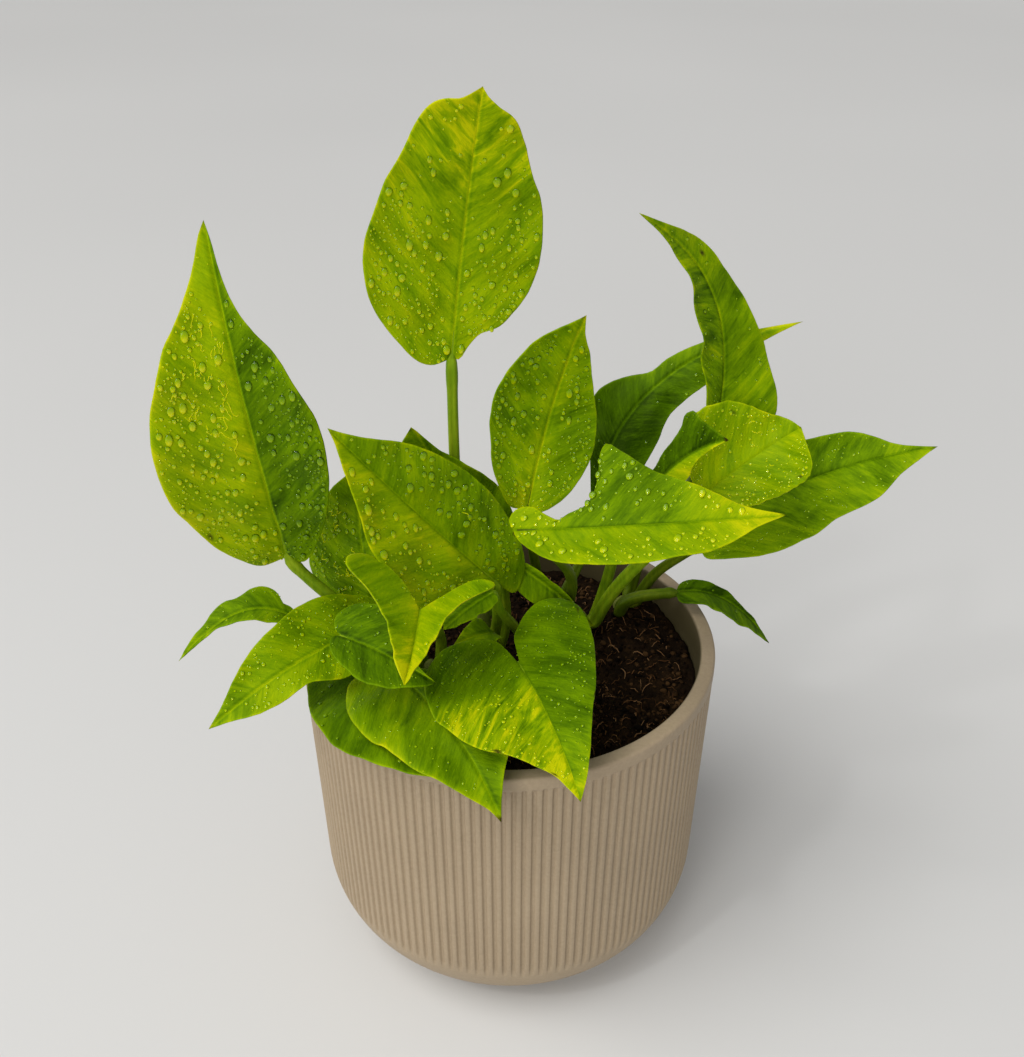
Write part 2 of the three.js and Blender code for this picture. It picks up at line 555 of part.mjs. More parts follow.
function buildPlant() {
  const plant = new THREE.Group();
  plant.name = "potted_pothos";
  plant.add(named("pot", potBody(), POT_COLOUR));
  plant.add(named("soil", soilBody(Object.values(STEMS)), SOIL_COLOUR));
  for (const [name, stem] of Object.entries(STEMS)) {
    plant.add(named(`stem_${name}`, stemGeometry(stem, 0), STEM_COLOUR));
  }
  for (const [name, leaf] of Object.entries(LEAVES)) {
    plant.add(named(`stalk_${name}`, stalkBody(leaf), STALK_COLOUR));
    plant.add(named(`leaf_${name}`, bladeBody(leaf), BLADE_COLOUR));
  }
  return plant;
}

export default buildPlant();
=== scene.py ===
"""A potted pothos: a fluted pot, soil, short stems, and leaf blades wet with drops of water."""
import math
import random

import bpy
import numpy as np
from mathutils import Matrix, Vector, noise


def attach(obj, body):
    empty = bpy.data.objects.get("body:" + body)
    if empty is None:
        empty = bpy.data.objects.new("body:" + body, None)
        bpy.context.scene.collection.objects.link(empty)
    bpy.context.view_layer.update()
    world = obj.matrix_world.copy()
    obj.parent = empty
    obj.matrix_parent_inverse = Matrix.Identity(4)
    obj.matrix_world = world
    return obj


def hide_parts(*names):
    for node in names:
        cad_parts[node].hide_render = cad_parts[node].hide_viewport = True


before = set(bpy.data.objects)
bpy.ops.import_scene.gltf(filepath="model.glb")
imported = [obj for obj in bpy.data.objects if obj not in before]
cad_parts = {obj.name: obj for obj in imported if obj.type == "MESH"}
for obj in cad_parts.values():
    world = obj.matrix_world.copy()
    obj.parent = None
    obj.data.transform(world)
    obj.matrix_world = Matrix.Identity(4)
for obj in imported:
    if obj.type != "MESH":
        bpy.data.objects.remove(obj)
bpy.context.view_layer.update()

# Lengths are in millimetres, up to where add_piece turns them into metres.
MM = 0.001
BODY = "root"

# The pot and its flutes: FLUTE_SHAPE runs across one flute, with its depth from 0 to 1.
POT_HEIGHT = 118
POT_TOP_RADIUS = 70
POT_FOOT_RADIUS = 67.9
POT_CORNER = 34
POT_WALL = 5
POT_FLOOR = 7
POT_EDGE = 1
FLUTES = 140
FLUTE_DEPTH = 0.85
FLUTE_LOW = 26.5
FLUTE_HIGH = 113.6
FLUTE_SHAPE = [
    (0.0, 0.0), (0.14, 0.02), (0.22, 0.1), (0.29, 0.5), (0.36, 0.9), (0.43, 1.0),
    (0.5, 1.0), (0.57, 1.0), (0.64, 0.9), (0.71, 0.5), (0.78, 0.1), (0.86, 0.02),
]

# The soil, with a low mound, and what lies on it.
SOIL_TOP = 101
SOIL_MOUND = (46, 34)
MOUND_HEIGHT = 6.5
MOUND_SPREAD = 36
SOIL_BUMP = 1.2
SOIL_STEPS = 300
CRUMBS = 4200
CRUMB_SEED = 7
CRUMB_SIZES = (0.3, 0.35, 0.45, 0.45, 0.6, 0.6, 0.8, 1.1)
FIBRES = 900
FIBRE_SEED = 11
FIBRE_LENGTHS = (1.5, 2, 2.5, 3, 4, 5)
FIBRE_STEPS = 8

# Stems: where each leaves the soil, how far it rises and which way it leans.
STEM_RADIUS = 2.8
STEMS = {
    "right": dict(foot=[41, 31], rise=3.5, lean=[1, 1]),
    "inner_right": dict(foot=[25, 20], rise=8, lean=[1, -1]),
    "middle": dict(foot=[10, 8], rise=14, lean=[1, 2]),
    "centre": dict(foot=[-8, 12], rise=24, lean=[-1, -2]),
    "left": dict(foot=[-34, -4], rise=22, lean=[-2, 0]),
    "front": dict(foot=[-25, -14], rise=18, lean=[-1, -2]),
}

# Leaf stalks: girth is the radius at the foot and at the top.
STALK_GIRTH = [1.9, 1.4]
STALK_LEAN = 0.35
STALK_GAP = 1.5
# Painted shade: these stalks take a darker copy of the stalk skin, for the shade under the leaves.
SHADED_STALKS = ("bright", "curled", "middle_upright", "rear_dark", "right_long", "right_small")

# Blades: half their thickness, the groove over the midrib and the rib under it, how their rows
# sweep, the span that curl counts over, the width of the rounded rim, the widths of the bands of
# colour by the margin and the midrib, and how far out the columns of the grid lie.
BLADE_HALF = 0.28
BLADE_GROOVE = 0.28
BLADE_RIB = 0.62
BLADE_SWEEP = 1.4
CURL_SPAN = 20
NO_CURL = [0, 0]
RIM_ROUND = 0.45
MARGIN_BAND = 1.6
MIDDLE_BAND = 4.5
COLUMN_OUTS = np.array([0.018, 0.045, 0.085, 0.14, 0.2, 0.27, 0.34, 0.42, 0.5, 0.58, 0.66, 0.74, 0.81,
                        0.87, 0.92, 0.96, 0.985, 1.0])

# Drops: the smallest radius, the height of the dome as a share of the radius, and the dome's rings
# as [share of the radius, share of the height], where a height under 0 is in millimetres.
SMALL_DROP = 0.27
DROP_HEIGHT = 0.52
DROP_RINGS = [(0.9, -0.1), (1.0, 0.02), (0.99, 0.3), (0.9, 0.6), (0.72, 0.82), (0.42, 0.96), (0.15, 1.0)]

# Each leaf: the midrib runs from base through mid to tip, face is the way its upper side looks.
# left and right list the margin as [millimetres across, share of the length along]; fold lifts
# each half in degrees, and curl bends it further over every 20 mm. stalk names the stem, the
# height and the side of it that the stalk leaves from, end is the stalk's last direction, and girth
# is there where it isn't the usual one.
LEAVES = {
    "tall": dict(base=[-18, 18, 213], mid=[-13, 22, 255], tip=[-7, 14, 295.6], face=[0.1, -1, 0.15],
        fold=[5, 5], stalk=["centre", 14, 130], end=[0, 0, 1], girth=[2, 1.65],
        left=[[6, -0.03], [11, -0.015], [16.5, 0.04], [22.5, 0.115], [26.5, 0.19], [29, 0.29],
            [29.5, 0.4], [26, 0.58], [19.5, 0.78], [16, 0.88], [13, 0.93], [10, 0.95], [5.5, 0.96],
            [2.5, 0.98]],
        right=[[2.5, 0], [5, 0.05], [8, 0.1], [14, 0.14], [18, 0.2], [21.5, 0.27], [23.5, 0.36],
            [23.5, 0.5], [21.5, 0.62], [17.5, 0.72], [14, 0.82], [10.5, 0.9], [5.5, 0.94], [2, 0.97]]),
    "left_tall": dict(base=[-70, -12, 158], mid=[-75, -22, 216], tip=[-82, -12, 266.5],
        face=[0.15, -1, 0.15], fold=[8, 12], stalk=["left", 13, 190], end=[-0.6, -0.1, 1],
        girth=[2.2, 1.75],
        left=[[8.5, 0], [14, 0.05], [20, 0.12], [25, 0.23], [28, 0.32], [28.5, 0.44], [26.5, 0.54],
            [21.5, 0.65], [17.5, 0.72], [14, 0.76], [9, 0.83], [5, 0.9], [2.5, 0.96]],
        right=[[5.5, -0.01], [13.5, 0.11], [19, 0.27], [20.5, 0.39], [19.5, 0.48], [16, 0.58], [12, 0.66],
            [7.5, 0.72], [3, 0.81], [1.5, 0.88], [1, 0.94]]),
    "centre": dict(base=[-4, -10, 147], mid=[-30, -20, 182], tip=[-51, -28, 212], face=[0.1, -0.8, 0.6],
        fold=[14, 14], stalk=["centre", 9, -60], end=[0, -0.1, 1],
        left=[[10, 0.02], [21, 0.16], [23, 0.36], [20, 0.54], [13, 0.7], [7, 0.82], [2, 0.93]],
        right=[[1, -0.1], [9, -0.06], [16, 0.1], [20, 0.34], [17, 0.62], [10, 0.8], [3, 0.93]]),
    "rear_middle": dict(base=[-11, 14, 141], mid=[-20, 16, 168], tip=[-31, 10, 193], face=[0, -1, 0.4],
        fold=[8, 8], stalk=["centre", 19, 60], end=[0, 0.1, 1],
        left=[[7.5, 0.03], [13.5, 0.3], [12.5, 0.62], [8.5, 0.89], [6.5, 0.94], [2, 0.98]],
        right=[[10.5, 0.04], [16.5, 0.18], [16, 0.35], [12, 0.52], [8.5, 0.61], [5, 0.7], [2.5, 0.8]]),
    "rear_left": dict(base=[-45, 0, 131], mid=[-49, 6, 153], tip=[-49, 12, 177], face=[-0.25, -1, 0.35],
        fold=[6, 6], curl=[-15, 0], stalk=["left", 17, 120], end=[0, 0.2, 1],
        left=[[9, -0.04], [18, 0.08], [20, 0.24], [19, 0.42], [15, 0.64], [9, 0.84], [4, 0.94]],
        right=[[9, 0.02], [15, 0.26], [15, 0.58], [9, 0.84], [4, 0.96]]),
    "middle_upright": dict(base=[6, 8, 164], mid=[14, 14, 199], tip=[23, 4, 233], face=[0.1, -1, 0.25],
        fold=[8, 14], stalk=["middle", 12, 90], end=[-0.1, 0.2, 1],
        left=[[6, 0], [10.5, 0.07], [14.5, 0.17], [17, 0.29], [19, 0.38], [19.5, 0.51], [18.5, 0.59],
            [16.5, 0.69], [13, 0.78], [7.5, 0.88], [3, 0.95]],
        right=[[2.5, -0.01], [6, 0.01], [11, 0.08], [14, 0.16], [16, 0.26], [16.5, 0.36], [14.5, 0.5],
            [10.5, 0.64], [5.5, 0.8], [2, 0.9]]),
    "bright": dict(base=[1.3, -27, 177.6], mid=[37.5, -38.5, 186.4], tip=[78, -42, 192],
        face=[0, -0.55, 0.85], fold=[12, 8], stalk=["middle", 8, -2], end=[-0.8, -0.1, 0.6],
        left=[[3, -0.02], [7, 0.01], [7.5, 0.06], [4.5, 0.13], [2.5, 0.19], [4.5, 0.22], [7.5, 0.29],
            [14, 0.33], [23.5, 0.34], [25.5, 0.36], [22, 0.43], [16.5, 0.53], [10.5, 0.7], [3, 0.88]],
        right=[[2.5, 0.02], [6.5, 0.08], [11, 0.17], [12.5, 0.27], [13.5, 0.36], [12.5, 0.53], [11, 0.69],
            [7.5, 0.81], [3.5, 0.9]]),
    "folded": dict(base=[-26, -43, 160], mid=[-27, -58, 157.4], tip=[-28.7, -72, 155], face=[0, -0.2, 1],
        fold=[28, 42], curl=[-15, -10], stalk=["front", 14, 60], end=[0.1, -0.5, 1],
        left=[[4, -0.06], [9, -0.13], [14, -0.2], [18, -0.23], [21, -0.21], [23.5, -0.13], [18, 0],
            [13, 0.1], [9.5, 0.25], [6.5, 0.48], [3.5, 0.73]],
        right=[[3, -0.07], [6.5, -0.18], [10.5, -0.28], [14.5, -0.36], [19, -0.37], [23, -0.31],
            [26, -0.19], [25.5, -0.05], [21, 0.03], [16.5, 0.14], [12, 0.3], [9, 0.5], [5, 0.79]]),
    "under_middle": dict(base=[-4.8, -28, 155.9], mid=[-12.3, -34, 154.2], tip=[-19.8, -38, 148.9],
        face=[0, -0.5, 1], fold=[10, 10], stalk=["middle", 5, 215], end=[-0.2, -0.4, 1],
        left=[[3, 0.03], [5, 0.24], [4.5, 0.48], [3.5, 0.7], [2, 0.86]],
        right=[[5.5, 0.03], [6, 0.32], [6, 0.59], [3.5, 0.83]]),
    "front_small": dict(base=[-52, -34, 144], mid=[-37, -46, 146], tip=[-21, -56, 143],
        face=[-0.1, -0.4, 1], fold=[10, 10], stalk=["left", 8, 330], end=[-0.8, -0.55, 0.4],
        left=[[2.5, -0.12], [6, -0.17], [10.5, -0.09], [12.5, 0.08], [13.5, 0.26], [8.5, 0.5], [1.5, 0.81]],
        right=[[2, -0.05], [5, 0.02], [8, 0.14], [10.5, 0.34], [11.5, 0.51], [10.5, 0.69], [6, 0.86],
            [2.5, 0.96]]),
    "left_low": dict(base=[-43, -12, 131], mid=[-65, -34, 134], tip=[-92, -50, 120],
        face=[-0.1, -0.7, 0.7], fold=[8, 8], stalk=["left", 12, 250], end=[-0.5, -0.5, 1],
        left=[[8, 0.11], [12.5, 0.31], [11, 0.42], [8.5, 0.5], [8.5, 0.58], [7.5, 0.75], [6, 0.81],
            [2.5, 0.91]],
        right=[[6.5, -0.11], [10.5, -0.03], [13, 0.1], [15, 0.23], [15.5, 0.36], [13.5, 0.49], [11, 0.64],
            [6.5, 0.78], [3, 0.88]]),
    "far_left": dict(base=[-70, -4, 126], mid=[-88, -6, 133], tip=[-110, -14, 118], face=[-0.1, -0.4, 1],
        fold=[10, 6], stalk=["left", 6, 158], end=[-1, 0, 0.7],
        left=[[4, 0.11], [6, 0.3], [5, 0.42], [3, 0.57], [1.5, 0.72], [1, 0.86]],
        right=[[3, 0.11], [3.5, 0.18], [6.5, 0.22], [8, 0.27], [7.5, 0.35], [5.5, 0.45], [6, 0.54],
            [4, 0.66], [2.5, 0.78]]),
    "rim_dark": dict(base=[-34, -34, 128], mid=[-14, -66, 129], tip=[-2, -84, 115],
        face=[-0.15, -0.45, 1], fold=[6, 6], stalk=["front", 6, 270], end=[0.2, -0.5, 0.8],
        left=[[4, 0.02], [7, 0.1], [11, 0.3], [13, 0.52], [12, 0.7], [6, 0.82], [2, 0.92]],
        right=[[4, -0.18], [12, -0.2], [18, -0.08], [21, 0.08], [21, 0.26], [18, 0.46], [14, 0.64],
            [6, 0.84], [2, 0.93]]),
    "rim_light": dict(base=[-43, -32, 121], mid=[-35, -56, 123], tip=[-20, -73, 122],
        face=[-0.1, -0.2, 1], fold=[6, 6], stalk=["front", 4, 210], end=[-0.6, -0.4, 0.6],
        left=[[6, 0.05], [9, 0.3], [9, 0.6], [5, 0.85]],
        right=[[7, -0.24], [14, -0.34], [20, -0.28], [21, -0.04], [20, 0.2], [16, 0.44], [10, 0.66],
            [5, 0.84]]),
    "heart": dict(base=[3, -40, 138], mid=[13, -68, 136], tip=[20, -88, 127], face=[0, -0.55, 1],
        fold=[8, 8], stalk=["front", 5, -20], end=[0, -0.4, 0.9],
        left=[[1.5, -0.05], [2.5, -0.2], [5, -0.29], [10.5, -0.39], [17, -0.42], [22.5, -0.36],
            [25.5, -0.25], [25.5, -0.08], [23, 0.12], [18.5, 0.34], [14, 0.5], [8.5, 0.71], [4, 0.88]],
        right=[[1, -0.06], [2.5, -0.25], [6.5, -0.32], [11, -0.34], [18.5, -0.31], [25, -0.2],
            [29, -0.07], [31, 0.1], [30.5, 0.33], [27.5, 0.44], [24, 0.53], [20, 0.6], [14.5, 0.68],
            [9, 0.76], [4.5, 0.84], [2.5, 0.91]]),
    "rear_dark": dict(base=[29, 26, 147], mid=[48, 44, 189], tip=[98, 46, 214], face=[0.1, -0.8, 0.5],
        fold=[-10, 10], stalk=["middle", 10, 40], end=[0.2, 0.3, 1],
        left=[[3, 0.14], [8.5, 0.28], [14, 0.37], [12, 0.42], [8.5, 0.47], [5, 0.52], [5, 0.58],
            [4, 0.69], [1.5, 0.84]],
        right=[[6, 0], [10, 0.1], [12.5, 0.18], [13.5, 0.31], [13, 0.37], [10.5, 0.47], [10, 0.57],
            [9.5, 0.65], [3.5, 0.86]]),
    "curled": dict(base=[68, 22, 189], mid=[65, 30, 228], tip=[38, 16, 259.8], face=[0.2, -0.9, 0.3],
        fold=[30, 5], stalk=["right", 4, 60], end=[0.1, 0, 1], girth=[2.3, 1.5],
        left=[[5, 0.02], [9, 0.17], [10.5, 0.37], [9.5, 0.52], [8, 0.61], [5, 0.69], [3, 0.81],
            [1.5, 0.91]],
        right=[[10.5, -0.03], [17, 0], [19, 0.06], [18, 0.13], [15.5, 0.2], [13, 0.29], [11, 0.35],
            [9.5, 0.43], [8, 0.49], [6.5, 0.58], [6, 0.68], [4, 0.78], [1.5, 0.89]]),
    "cupped": dict(base=[60, -8, 178], mid=[77, 0, 188], tip=[90, 0, 198], face=[-0.1, -0.8, 0.7],
        fold=[10, 10], curl=[20, -10], stalk=["inner_right", 7, -30], end=[0.6, 0, 1], girth=[2.4, 1.8],
        left=[[7, 0.02], [15, 0.14], [21, 0.28], [22, 0.44], [21, 0.56], [17, 0.7], [9, 0.84], [4, 0.94]],
        right=[[5, -0.02], [10, 0.14], [14, 0.42], [15, 0.62], [15, 0.82], [12, 0.96], [6, 1]]),
    "small_dark": dict(base=[44, -14, 185], mid=[54, -14, 196], tip=[64, -20, 204],
        face=[-0.2, -0.9, 0.5], fold=[10, 10], stalk=["inner_right", 5, 20], end=[0.5, -0.3, 1],
        girth=[2.1, 1.4],
        left=[[3, 0.06], [4, 0.19], [5.5, 0.33], [6.5, 0.47], [9, 0.62], [11, 0.67], [11, 0.76],
            [8.5, 0.78], [4.5, 0.86]],
        right=[[5.5, 0.05], [5.5, 0.33], [4, 0.44], [2.5, 0.61], [1.5, 0.79]]),
    "right_long": dict(base=[64, 10, 149], mid=[98, 20, 167], tip=[138, 12, 185], face=[0, -0.7, 0.75],
        fold=[10, 10], stalk=["right", 3, -5], end=[0.8, -0.4, 1], girth=[2.1, 1.5],
        left=[[6, 0.06], [12, 0.2], [14, 0.38], [13, 0.54], [11, 0.7], [8, 0.77], [3.5, 0.85], [1.5, 0.92]],
        right=[[5, -0.02], [10.5, 0.04], [14, 0.11], [16, 0.18], [18.5, 0.31], [18.5, 0.42], [16.5, 0.54],
            [15, 0.67], [12.5, 0.77], [6.5, 0.87], [3, 0.94]]),
    "right_small": dict(base=[59, 19, 123], mid=[76, 16, 122], tip=[92, 9, 108], face=[0.2, -0.3, 1],
        fold=[14, 14], stalk=["right", 2, -105], end=[1, -0.3, 0.3], girth=[2.4, 1.7],
        left=[[3.5, 0.05], [4.5, 0.19], [4, 0.37], [2, 0.6], [1, 0.8]],
        right=[[5, 0.02], [7, 0.12], [8, 0.28], [8, 0.53], [4.5, 0.78]]),
    "inner_strip": dict(base=[0, -1, 150], mid=[14, -5, 141], tip=[29, 0, 122], face=[-0.3, -0.8, 0.4],
        fold=[10, 10], stalk=["centre", 3, 10], end=[0.3, -0.5, 1],
        left=[[2, 0.1], [2.5, 0.4], [1.5, 0.75]],
        right=[[3, 0.04], [7, 0.2], [7, 0.45], [4, 0.72]]),
    "young": dict(base=[-5, -8, 125], mid=[-10, -14, 129], tip=[-18, -18, 128], face=[-0.1, -0.5, 1],
        fold=[14, 14], stalk=["centre", 3, -95], end=[0, -0.3, 1],
        left=[[3, 0.05], [5, 0.3], [4, 0.65]],
        right=[[3, 0.05], [6, 0.3], [4, 0.65]]),
}

# How each blade is coloured and how wet it is. tone runs from 0, dark green, to 1, yellow. left,
# right, margin, tip, base and middle are added to it on a half, along the margin, at the tip, at
# the base and beside the midrib. streak and blotch are how far the tone varies, shine is the gloss,
# bare fades the midrib's line, and the blade is brown beyond brown_tip, a share of its length.
# veins, wave, roll and ragged shape the surface and the margin. drops is how many are tried for on
# a square centimetre, size is the radius of the largest in millimetres, and few are left beyond
# dry, a share of the margin. streams is how many runs of water there are, between the two shares
# of runs, and only on one half where half says which. spots lists brown spots as [side, out, along,
# radius], and marble lists [side, from, to, more streak, more tone], with side 0 for both halves.
# The left and right amounts are partly the leaf's own colour and partly painted light and shade on its two
# halves.
PLAIN = dict(
    tone=0.45, left=0, right=0, margin=0.04, tip=0.05, base=0, middle=0.03, streak=0.7, blotch=0.9,
    shine=0.1, bare=0, veins=0.22, wave=0.45, roll=1.2, ragged=0.04, drops=4, size=0.8, dry=0.97,
    brown_tip=0.985, streams=0, runs=[0.25, 0.8], half=None, spots=[], marble=[])
LOOKS = {
    "tall": dict(tone=0.58, left=0.05, tip=0.32, streak=0.9, blotch=1.0, drops=36, size=1.2, dry=0.62,
        brown_tip=2, marble=[[0, 0.55, 0.92, 1.0, -0.07]]),
    "left_tall": dict(tone=0.5, left=0.18, right=-0.2, margin=0.14, tip=-0.1, drops=36, size=1.2,
        streams=26, runs=[0.55, 0.82], half=0, dry=0.85, brown_tip=0.99,
        spots=[[-1, 0.93, 0.15, 1.1], [-1, 0.8, 0.2, 0.5], [-1, 0.86, 0.19, 0.4], [-1, 0.83, 0.16, 0.5]]),
    "centre": dict(tone=0.55, bare=0.5, left=0.1, right=-0.1, margin=0.06, drops=24, size=1.3, streams=4),
    "rear_middle": dict(tone=0.42, drops=3),
    "rear_left": dict(tone=0.42, streak=0.9, shine=0.7, drops=24, streams=40),
    "middle_upright": dict(middle=0.2, drops=38, size=1.15, base=0.1, tip=0, dry=0.85),
    "bright": dict(tone=0.56, left=0.08, right=0.04, tip=0.26, drops=20, size=1.2, blotch=0.7, bare=0.7,
        brown_tip=0.99, wave=0.3, marble=[[-1, 0.12, 0.56, 0.2, -0.27]]),
    "folded": dict(tone=0.52, tip=0.38, middle=0.3, margin=0.15, drops=3, size=0.7, roll=0.5, wave=0.4,
        bare=0.7, marble=[[0, 0.35, 0.9, 0.9, 0.08]]),
    "under_middle": dict(tone=0.28, drops=1, roll=0.4),
    "front_small": dict(tone=0.22, margin=0.1, drops=9, size=0.6, roll=0.6),
    "left_low": dict(tone=0.54, streak=0.9, margin=0.08, tip=-0.05, drops=26, size=0.7),
    "far_left": dict(tone=0.4, streak=0.9, margin=0.08, drops=10, size=0.5, roll=0.6),
    "rim_dark": dict(tone=0.29, tip=-0.04, margin=0.22, right=0.16, shine=0.3, drops=6, size=0.5,
        brown_tip=0.975, spots=[[1, 0.98, 0.9, 0.7]]),
    "rim_light": dict(tone=0.31, streak=0.4, margin=0.1, drops=2),
    "heart": dict(tone=0.34, bare=0.7, left=-0.03, tip=0.32, streak=0.5, blotch=0.7, drops=26, size=0.6,
        veins=0.14, roll=0.8,
        spots=[[1, 0.97, 0.62, 1.3], [-1, 0.95, -0.2, 0.9], [1, 0.98, 0.83, 0.8], [-1, 0.98, 0.45, 0.6]],
        marble=[[1, 0.12, 0.9, 2.0, 0.32], [-1, 0.5, 0.9, 0.9, 0.08]]),
    "rear_dark": dict(tone=0.04, left=0.06, tip=0.42, margin=0.1, shine=0.5, drops=2, roll=1.6,
        streak=0.4, blotch=0.6, marble=[[0, 0.4, 1.2, 0.3, 0.22]]),
    "curled": dict(left=-0.06, streak=0.9, blotch=1.1, drops=5, size=0.6,
        spots=[[1, 0.55, 0.66, 0.7], [-1, 0.6, 0.5, 0.5], [-1, 0.5, 0.42, 0.4]],
        marble=[[-1, 0.1, 0.8, 0.7, 0.02]]),
    "cupped": dict(tone=0.62, streak=0.9, blotch=0.8, veins=0.7, wave=1.0, shine=0.5, bare=3, drops=34,
        size=0.55, streams=6, brown_tip=2, ragged=0.15,
        spots=[[-1, 0.9, 0.3, 0.8], [-1, 0.8, 0.62, 0.7], [1, 0.85, 0.8, 0.7]]),
    "small_dark": dict(tone=0.16, right=0.6, drops=10, size=0.4, brown_tip=0.96),
    "right_long": dict(tone=0.39, bare=0.7, left=0.02, right=0.02, margin=0.06, streak=0.9, drops=9,
        size=0.5, roll=1.5),
    "right_small": dict(tone=0.08, right=0.12, drops=2, brown_tip=0.97, roll=0.5),
    "inner_strip": dict(tone=0.36, drops=1, roll=0.3),
    "young": dict(tone=0.4, drops=0, roll=0.3),
}


# ---------------- meshes

def linked(name, data):
    thing = bpy.data.objects.new(name, data)
    bpy.context.scene.collection.objects.link(thing)
    return thing


def add_piece(name, points, faces, materials, node=None, face_materials=None, layers=None):
    """One visible piece, with layers as named vectors on its points."""
    mesh = bpy.data.meshes.new(name)
    mesh.from_pydata((np.asarray(points, float) * MM).tolist(), [], [list(map(int, f)) for f in faces])
    for material in materials:
        mesh.materials.append(material)
    if face_materials is not None:
        mesh.polygons.foreach_set("material_index", np.asarray(face_materials, np.int32))
    for label, values in (layers or {}).items():
        layer = mesh.attributes.new(label, "FLOAT_VECTOR", "POINT")
        layer.data.foreach_set("vector", np.asarray(values, np.float32).ravel())
    mesh.shade_smooth()
    mesh.update()
    thing = linked(name, mesh)
    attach(thing, BODY)
    if node:
        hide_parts(node)


def unit(vectors):
    vectors = np.asarray(vectors, float)
    return vectors / np.linalg.norm(vectors, axis=-1, keepdims=True)


def smoothstep(low, high, value):
    share = np.clip((np.asarray(value, float) - low) / (high - low), 0, 1)
    return share * share * (3 - 2 * share)


def capped(rings, low, high):
    """Points and faces of stacked closed rings, closed with a fan of triangles at each end."""
    rings = np.asarray(rings, float)
    rows, columns = rings.shape[:2]
    points = np.vstack([rings.reshape(-1, 3), [low, high]])
    bottom = rows * columns
    last = bottom - columns
    after = [*range(1, columns), 0]
    faces = []
    for near in range(0, last, columns):
        far = near + columns
        faces += [(near + k, near + after[k], far + after[k], far + k) for k in range(columns)]
    for k in range(columns):
        faces.append((bottom, after[k], k))
        faces.append((bottom + 1, last + k, last + after[k]))
    return points, faces


class Collector:
    """Gathers many small closed shapes into one mesh."""

    def __init__(self):
        self.points = []
        self.faces = []
        self.layer = []
        self.count = 0

    def add(self, points, faces, value):
        self.points.append(np.asarray(points, float))
        self.faces.extend(tuple(index + self.count for index in face) for face in faces)
        self.layer.append(np.broadcast_to(np.asarray(value, float), (len(points), 3)))
        self.count += len(points)

    def piece(self, name, material):
        layers = {"own": np.vstack(self.layer)}
        add_piece(name, np.vstack(self.points), self.faces, [material], layers=layers)


def transported(path, first):
    """Unit tangents and one cross direction that turns as little as it can along the path."""
    tangents = unit(np.gradient(path, axis=0))
    across = np.asarray(first, float)
    crosses = []
    for tangent in tangents:
        across = across - tangent * across.dot(tangent)
        across = across / np.linalg.norm(across)
        crosses.append(across)
    return tangents, np.array(crosses)


def swept(path, radii, sides, first, shape=None):
    """A tube along a path; shape(angles, share) scales the radius round it."""
    path = np.asarray(path, float)
    tangents, across = transported(path, first)
    third = np.cross(tangents, across)
    angles = np.linspace(0, 2 * math.pi, sides, endpoint=False)
    rings = []
    for k, point in enumerate(path):
        scale = radii[k] * (shape(angles, k / (len(path) - 1)) if shape else np.ones(sides))
        rings.append(point + across[k] * (scale * np.cos(angles))[:, None]
                     + third[k] * (scale * np.sin(angles))[:, None])
    return capped(rings, path[0], path[-1])


# ---------------- materials

class Nodes:
    """A short way to write a node material."""

    def __init__(self, name):
        self.material = bpy.data.materials.new(name)
        self.material.use_nodes = True
        self.tree = self.material.node_tree
        self.tree.nodes.clear()
        self.output = self.tree.nodes.new("ShaderNodeOutputMaterial")

    def node(self, kind, sockets, **settings):
        """A node whose sockets, by name or number, are linked to outputs or set to plain values."""
        made = self.tree.nodes.new("ShaderNode" + kind)
        for label, value in settings.items():
            setattr(made, label, value)
        for label, value in sockets.items():
            socket = made.inputs[label]
            if isinstance(value, bpy.types.NodeSocket):
                self.tree.links.new(value, socket)
            else:
                socket.default_value = (*value, 1) if socket.type == "RGBA" else value
        return made

    def math(self, operation, *terms):
        return self.node("Math", dict(enumerate(terms)), operation=operation).outputs[0]

    def spread(self, value, low, high, to_low=0.0, to_high=1.0):
        sockets = {"Value": value, "From Min": low, "From Max": high, "To Min": to_low, "To Max": to_high}
        return self.node("MapRange", sockets, interpolation_type="SMOOTHSTEP").outputs[0]

    def place(self):
        return self.node("TexCoord", {}).outputs["Object"]

    def parts(self, vector):
        return self.node("SeparateXYZ", {"Vector": vector}).outputs

    def attribute(self, name):
        return self.node("Attribute", {}, attribute_name=name).outputs["Vector"]

    def scaled(self, vector, amounts):
        return self.node("VectorMath", {0: vector, 1: amounts}, operation="MULTIPLY").outputs[0]

    def noise(self, vector, scale, detail, roughness, distortion=0.0):
        sockets = {"Vector": vector, "Scale": scale, "Detail": detail, "Roughness": roughness}
        return self.node("TexNoise", {**sockets, "Distortion": distortion}).outputs["Fac"]

    def ramp(self, value, stops):
        made = self.node("ValToRGB", {"Fac": value})
        bar = made.color_ramp.elements
        while len(bar) < len(stops):
            bar.new(0.5)
        for element, (place, colour) in zip(bar, stops):
            element.position = place
            element.color = (*colour, 1)
        return made.outputs["Color"]

    def mix(self, share, first, second):
        return self.node("Mix", {0: share, 6: first, 7: second}, data_type="RGBA").outputs[2]

    def bump(self, height, strength, distance):
        sockets = {"Height": height, "Strength": strength, "Distance": distance}
        return self.node("Bump", sockets).outputs["Normal"]

    def skin(self, colour, roughness, **sockets):
        sockets = {label.replace("_", " "): value for label, value in sockets.items()}
        values = {"Base Color": colour, "Roughness": roughness, **sockets}
        return self.node("BsdfPrincipled", values).outputs[0]

    def blend(self, share, first, second):
        return self.node("MixShader", {"Fac": share, 1: first, 2: second}).outputs[0]

    def finish(self, shader):
        self.tree.links.new(shader, self.output.inputs["Surface"])
        return self.material


